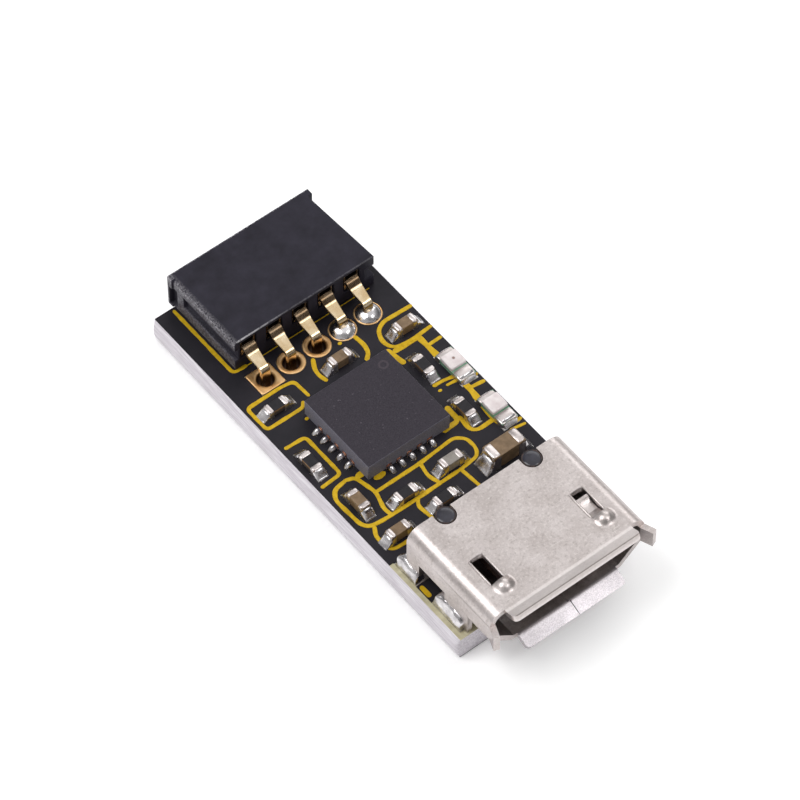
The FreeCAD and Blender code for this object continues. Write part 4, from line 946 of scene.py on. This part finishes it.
def make_board():
    data = bmesh.new()
    rows = []
    for way in board_stations():
        from_end = min(way, board_length - way, BULGE)
        turned = math.sqrt(1 - (1 - from_end / BULGE) ** 2)
        row = []
        for side in (-1, 1):
            column = []
            for i in range(SIDE_STEPS + 1):
                share = i / SIDE_STEPS
                low_to_high = share if side < 0 else 1 - share
                z = COAT + low_to_high * (BOARD_THICK - 2 * COAT) - BOARD_THICK
                out = BULGE * turned * max(math.sin(math.pi * low_to_high), 0.0) ** BULGE_SHAPE
                rough = noise.noise(Vector((way * 0.9, z * 9.0, side * 5.0)))
                out *= 1 - EDGE_ROUGH * abs(rough) * turned
                x = BOARD_WIDTH / 2 + side * (BOARD_WIDTH / 2 + out)
                column.append(data.verts.new(spot(x, way, z)))
            row += column
        rows.append(row)
    count = len(rows[0])
    for near, far in zip(rows, rows[1:]):
        for i in range(count):
            k = (i + 1) % count
            data.faces.new((near[i], near[k], far[k], far[i]))
    data.faces.new(rows[0][::-1])
    data.faces.new(rows[-1])
    board = finish_piece("board_slab", data, "board_core", ("circuit_board",), 40)
    drills = bmesh.new()
    for number in HOLES:
        low, high = (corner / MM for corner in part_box("plated_hole_%d" % number))
        middle = Vector(((low.x + high.x) / 2, (low.y + high.y) / 2, TOP - BOARD_THICK / 2))
        bmesh.ops.create_cone(
            drills, cap_ends=True, segments=40, radius1=BORE, radius2=BORE, depth=2 * BOARD_THICK,
            matrix=Matrix.Translation(middle))
    bmesh.ops.transform(drills, matrix=Matrix.Scale(MM, 4), verts=drills.verts)
    mesh = bpy.data.meshes.new("drills")
    drills.to_mesh(mesh)
    drills.free()
    cutter = bpy.data.objects.new("drills", mesh)
    scene.collection.objects.link(cutter)
    bore = board.modifiers.new("bores", "BOOLEAN")
    bore.operation = "DIFFERENCE"
    bore.solver = "EXACT"
    bore.object = cutter
    bpy.context.view_layer.update()
    depsgraph = bpy.context.evaluated_depsgraph_get()
    drilled = bpy.data.meshes.new_from_object(board.evaluated_get(depsgraph))
    board.modifiers.clear()
    board.data = drilled
    bpy.data.objects.remove(cutter)


make_board()


# Windows of the shell: how far they lie from its middle, their front, half width and length
WINDOW_SPREAD = 2.435
WINDOW_FRONT = -0.06
WINDOW_HALF = 0.31
WINDOW_LENGTH = 1.38

# Bumps before the windows, each with a soft foot that its window cuts off
BUMP_SHIFT = 0.08
BUMP_Y = -0.32
# What stands above the shell this near the front edge is a bump and not the lip
LIP_BEND = 1.3
# The shell's own bumps are brought down to this share and by this much
BUMP_SHARE = 0.85
BUMP_SINK = 0.004
BUMP_PROFILE = (
    (0.0, 0.22), (0.06, 0.216), (0.12, 0.203), (0.18, 0.18), (0.24, 0.145), (0.28, 0.113), (0.32, 0.08),
    (0.36, 0.051), (0.40, 0.028), (0.44, 0.012), (0.48, 0.003), (0.5, 0.0), (0.5, -0.06), (0.0, -0.06))


def make_bumps():
    data = bmesh.new()
    for side in (-1, 1):
        centre = spot(BOARD_WIDTH / 2 + side * WINDOW_SPREAD + BUMP_SHIFT, BUMP_Y)
        centre.z = SHELL_TOP
        lathe(data, centre, BUMP_PROFILE)
    for vert in data.verts:
        vert.co.y = min(vert.co.y, FRONT + WINDOW_FRONT + 0.004)
    bmesh.ops.remove_doubles(data, verts=data.verts, dist=1e-4)
    bmesh.ops.dissolve_degenerate(data, edges=data.edges, dist=1e-4)
    finish_piece("shell_bumps", data, "shell_metal", (), 60)


def lower_bump(vert):
    """Brings the top of each bump just under the piece that shows it."""
    above = vert.co.z / MM - SHELL_TOP
    if above > 0.001 and vert.co.y / MM > FRONT - LIP_BEND:
        vert.co.z = (SHELL_TOP + BUMP_SHARE * above - BUMP_SINK) * MM


# Rims along the sides of the two windows
RIM_RADIUS = 0.05
# The rolled rear edge of each window: how far it reaches in, its depth and its round corners
ROLL_REACH = 0.05
ROLL_DEPTH = 0.2
ROLL_CORNER = ((0.16, 0.0), (0.1, 0.012), (0.06, 0.035), (0.03, 0.066), (0.01, 0.1), (-0.02, 0.14))


def make_window_rims():
    data = bmesh.new()
    for side in (-1, 1):
        middle = BOARD_WIDTH / 2 + side * WINDOW_SPREAD
        for edge in (-1, 1):
            foot = spot(middle + edge * (WINDOW_HALF + RIM_RADIUS * 0.3), WINDOW_FRONT)
            foot.z = SHELL_TOP - 0.01
            size = 2 * RIM_RADIUS
            loft(data, foot, (0, 1), [
                (0.0, size * 0.5, 0.014, 2), (0.1, size, 0.052, 2), (WINDOW_LENGTH / 2, size, 0.056, 2),
                (WINDOW_LENGTH - 0.1, size, 0.052, 2), (WINDOW_LENGTH, size * 0.5, 0.014, 2)], sides=12)
        rear = spot(middle, WINDOW_FRONT + WINDOW_LENGTH + ROLL_REACH)
        rear.z = SHELL_TOP - ROLL_DEPTH
        right = [(WINDOW_HALF - inset, 2 * (2 * ROLL_REACH + extra), ROLL_DEPTH + 0.004, 2.4)
                 for inset, extra in ROLL_CORNER]
        left = [(-way, width, height, power) for way, width, height, power in right]
        loft(data, rear, (1, 0), left[::-1] + right, sides=20)
    finish_piece("window_rims", data, "shell_metal", (), 60)


make_bumps()
make_window_rims()
eased("header_housing", 0.04)
eased("converter_chip", 0.03)
eased("usb_shell", adjust=lower_bump)


# Floor: it lies a hair below the board and lets a look from underneath through
FLOOR_GAP = 0.01
FLOOR_HALF = 0.6
FLOOR_GLOW = 0.22


def make_floor():
    data = bmesh.new()
    bmesh.ops.create_grid(data, x_segments=1, y_segments=1, size=FLOOR_HALF)
    bmesh.ops.translate(data, vec=(0, 0, -FLOOR_GAP * MM), verts=data.verts)
    mesh = bpy.data.meshes.new("floor")
    data.to_mesh(mesh)
    data.free()
    floor = bpy.data.objects.new("floor", mesh)
    scene.collection.objects.link(floor)
    material = bpy.data.materials.new("white_floor")
    material.use_nodes = True
    tree = material.node_tree
    shader = tree.nodes["Principled BSDF"]
    shader.inputs["Base Color"].default_value = (0.9, 0.9, 0.9, 1)
    shader.inputs["Roughness"].default_value = 0.9
    shader.inputs["Specular IOR Level"].default_value = 0.0
    shader.inputs["Emission Color"].default_value = (1, 1, 1, 1)
    path = tree.nodes.new("ShaderNodeLightPath")
    shown = tree.nodes.new("ShaderNodeMath")
    shown.operation = "ADD"
    tree.links.new(path.outputs["Is Camera Ray"], shown.inputs[0])
    tree.links.new(path.outputs["Is Glossy Ray"], shown.inputs[1])
    seen = tree.nodes.new("ShaderNodeMath")
    seen.operation = "ADD"
    tree.links.new(shown.outputs[0], seen.inputs[0])
    tree.links.new(path.outputs["Is Transmission Ray"], seen.inputs[1])
    glow = tree.nodes.new("ShaderNodeMath")
    glow.operation = "MULTIPLY"
    glow.inputs[1].default_value = FLOOR_GLOW
    tree.links.new(seen.outputs[0], glow.inputs[0])
    tree.links.new(glow.outputs[0], shader.inputs["Emission Strength"])
    side = tree.nodes.new("ShaderNodeNewGeometry")
    clear = tree.nodes.new("ShaderNodeBsdfTransparent")
    either = tree.nodes.new("ShaderNodeMixShader")
    tree.links.new(side.outputs["Backfacing"], either.inputs[0])
    tree.links.new(shader.outputs[0], either.inputs[1])
    tree.links.new(clear.outputs[0], either.inputs[2])
    tree.links.new(either.outputs[0], tree.nodes["Material Output"].inputs["Surface"])
    mesh.materials.append(material)


# Soft lights, aimed at the origin of the frame: place and size in millimetres, and power
LIGHTS = (
    ("key", (-70, 40, 150), (90, 90), 0.13),
    ("front", (55, -74, 125), (46, 46), 0.034),
    ("fill", (110, 90, 90), (120, 80), 0.06))


def area_light(name, place, size, power):
    light = bpy.data.lights.new(name, "AREA")
    light.shape = "RECTANGLE"
    light.size, light.size_y = (s * MM for s in size)
    light.energy = power
    item = bpy.data.objects.new(name, light)
    item.location = Vector(place) * MM
    item.rotation_mode = "QUATERNION"
    item.rotation_quaternion = (-Vector(place)).to_track_quat("-Z", "Y")
    scene.collection.objects.link(item)


# The way to the middle of the soft box overhead, which level metal shows
BRIGHT_WAY = (0.361, -0.03, 0.932)
# How bright the room is, by the cosine from that way
SKY = ((0.0, 0.55), (0.35, 0.46), (0.6, 0.18), (0.76, 0.32), (0.86, 0.92), (1.0, 1.0))


def make_world():
    """A pale room with a soft box overhead, darker between the box and the horizon."""
    world = bpy.data.worlds.new("studio")
    scene.world = world
    world.use_nodes = True
    tree = world.node_tree
    background = tree.nodes["Background"]
    coords = tree.nodes.new("ShaderNodeTexCoord")
    toward = tree.nodes.new("ShaderNodeVectorMath")
    toward.operation = "DOT_PRODUCT"
    tree.links.new(coords.outputs["Generated"], toward.inputs[0])
    toward.inputs[1].default_value = BRIGHT_WAY
    ramp = tree.nodes.new("ShaderNodeValToRGB")
    while len(ramp.color_ramp.elements) < len(SKY):
        ramp.color_ramp.elements.new(1.0)
    for element, (position, level) in zip(ramp.color_ramp.elements, SKY):
        element.position = position
        element.color = (level, level, level, 1)
    tree.links.new(toward.outputs["Value"], ramp.inputs["Fac"])
    tree.links.new(ramp.outputs["Color"], background.inputs["Color"])


# Camera: found from the photograph, looking down from the left of the USB mouth
AZIMUTH = math.radians(-38.465)
ELEVATION = math.radians(54.517)
DISTANCE = 198.96
AIM = Vector((0.951, 1.304, 1.2))
FOCAL_PIXELS = 5133.5
PHOTO_PIXELS = 800


def make_camera():
    camera = bpy.data.cameras.new("camera")
    camera.sensor_width = 36.0
    camera.lens = camera.sensor_width * FOCAL_PIXELS / PHOTO_PIXELS
    camera.clip_start = 0.005
    camera.clip_end = 5.0
    back = Vector((
        math.sin(AZIMUTH) * math.cos(ELEVATION),
        -math.cos(AZIMUTH) * math.cos(ELEVATION),
        math.sin(ELEVATION)))
    item = bpy.data.objects.new("camera", camera)
    item.location = (AIM + back * DISTANCE) * MM
    item.rotation_mode = "QUATERNION"
    item.rotation_quaternion = (-back).to_track_quat("-Z", "Y")
    scene.collection.objects.link(item)
    scene.camera = item


make_floor()
make_world()
for light_facts in LIGHTS:
    area_light(*light_facts)
make_camera()
scene.view_settings.view_transform = "Standard"
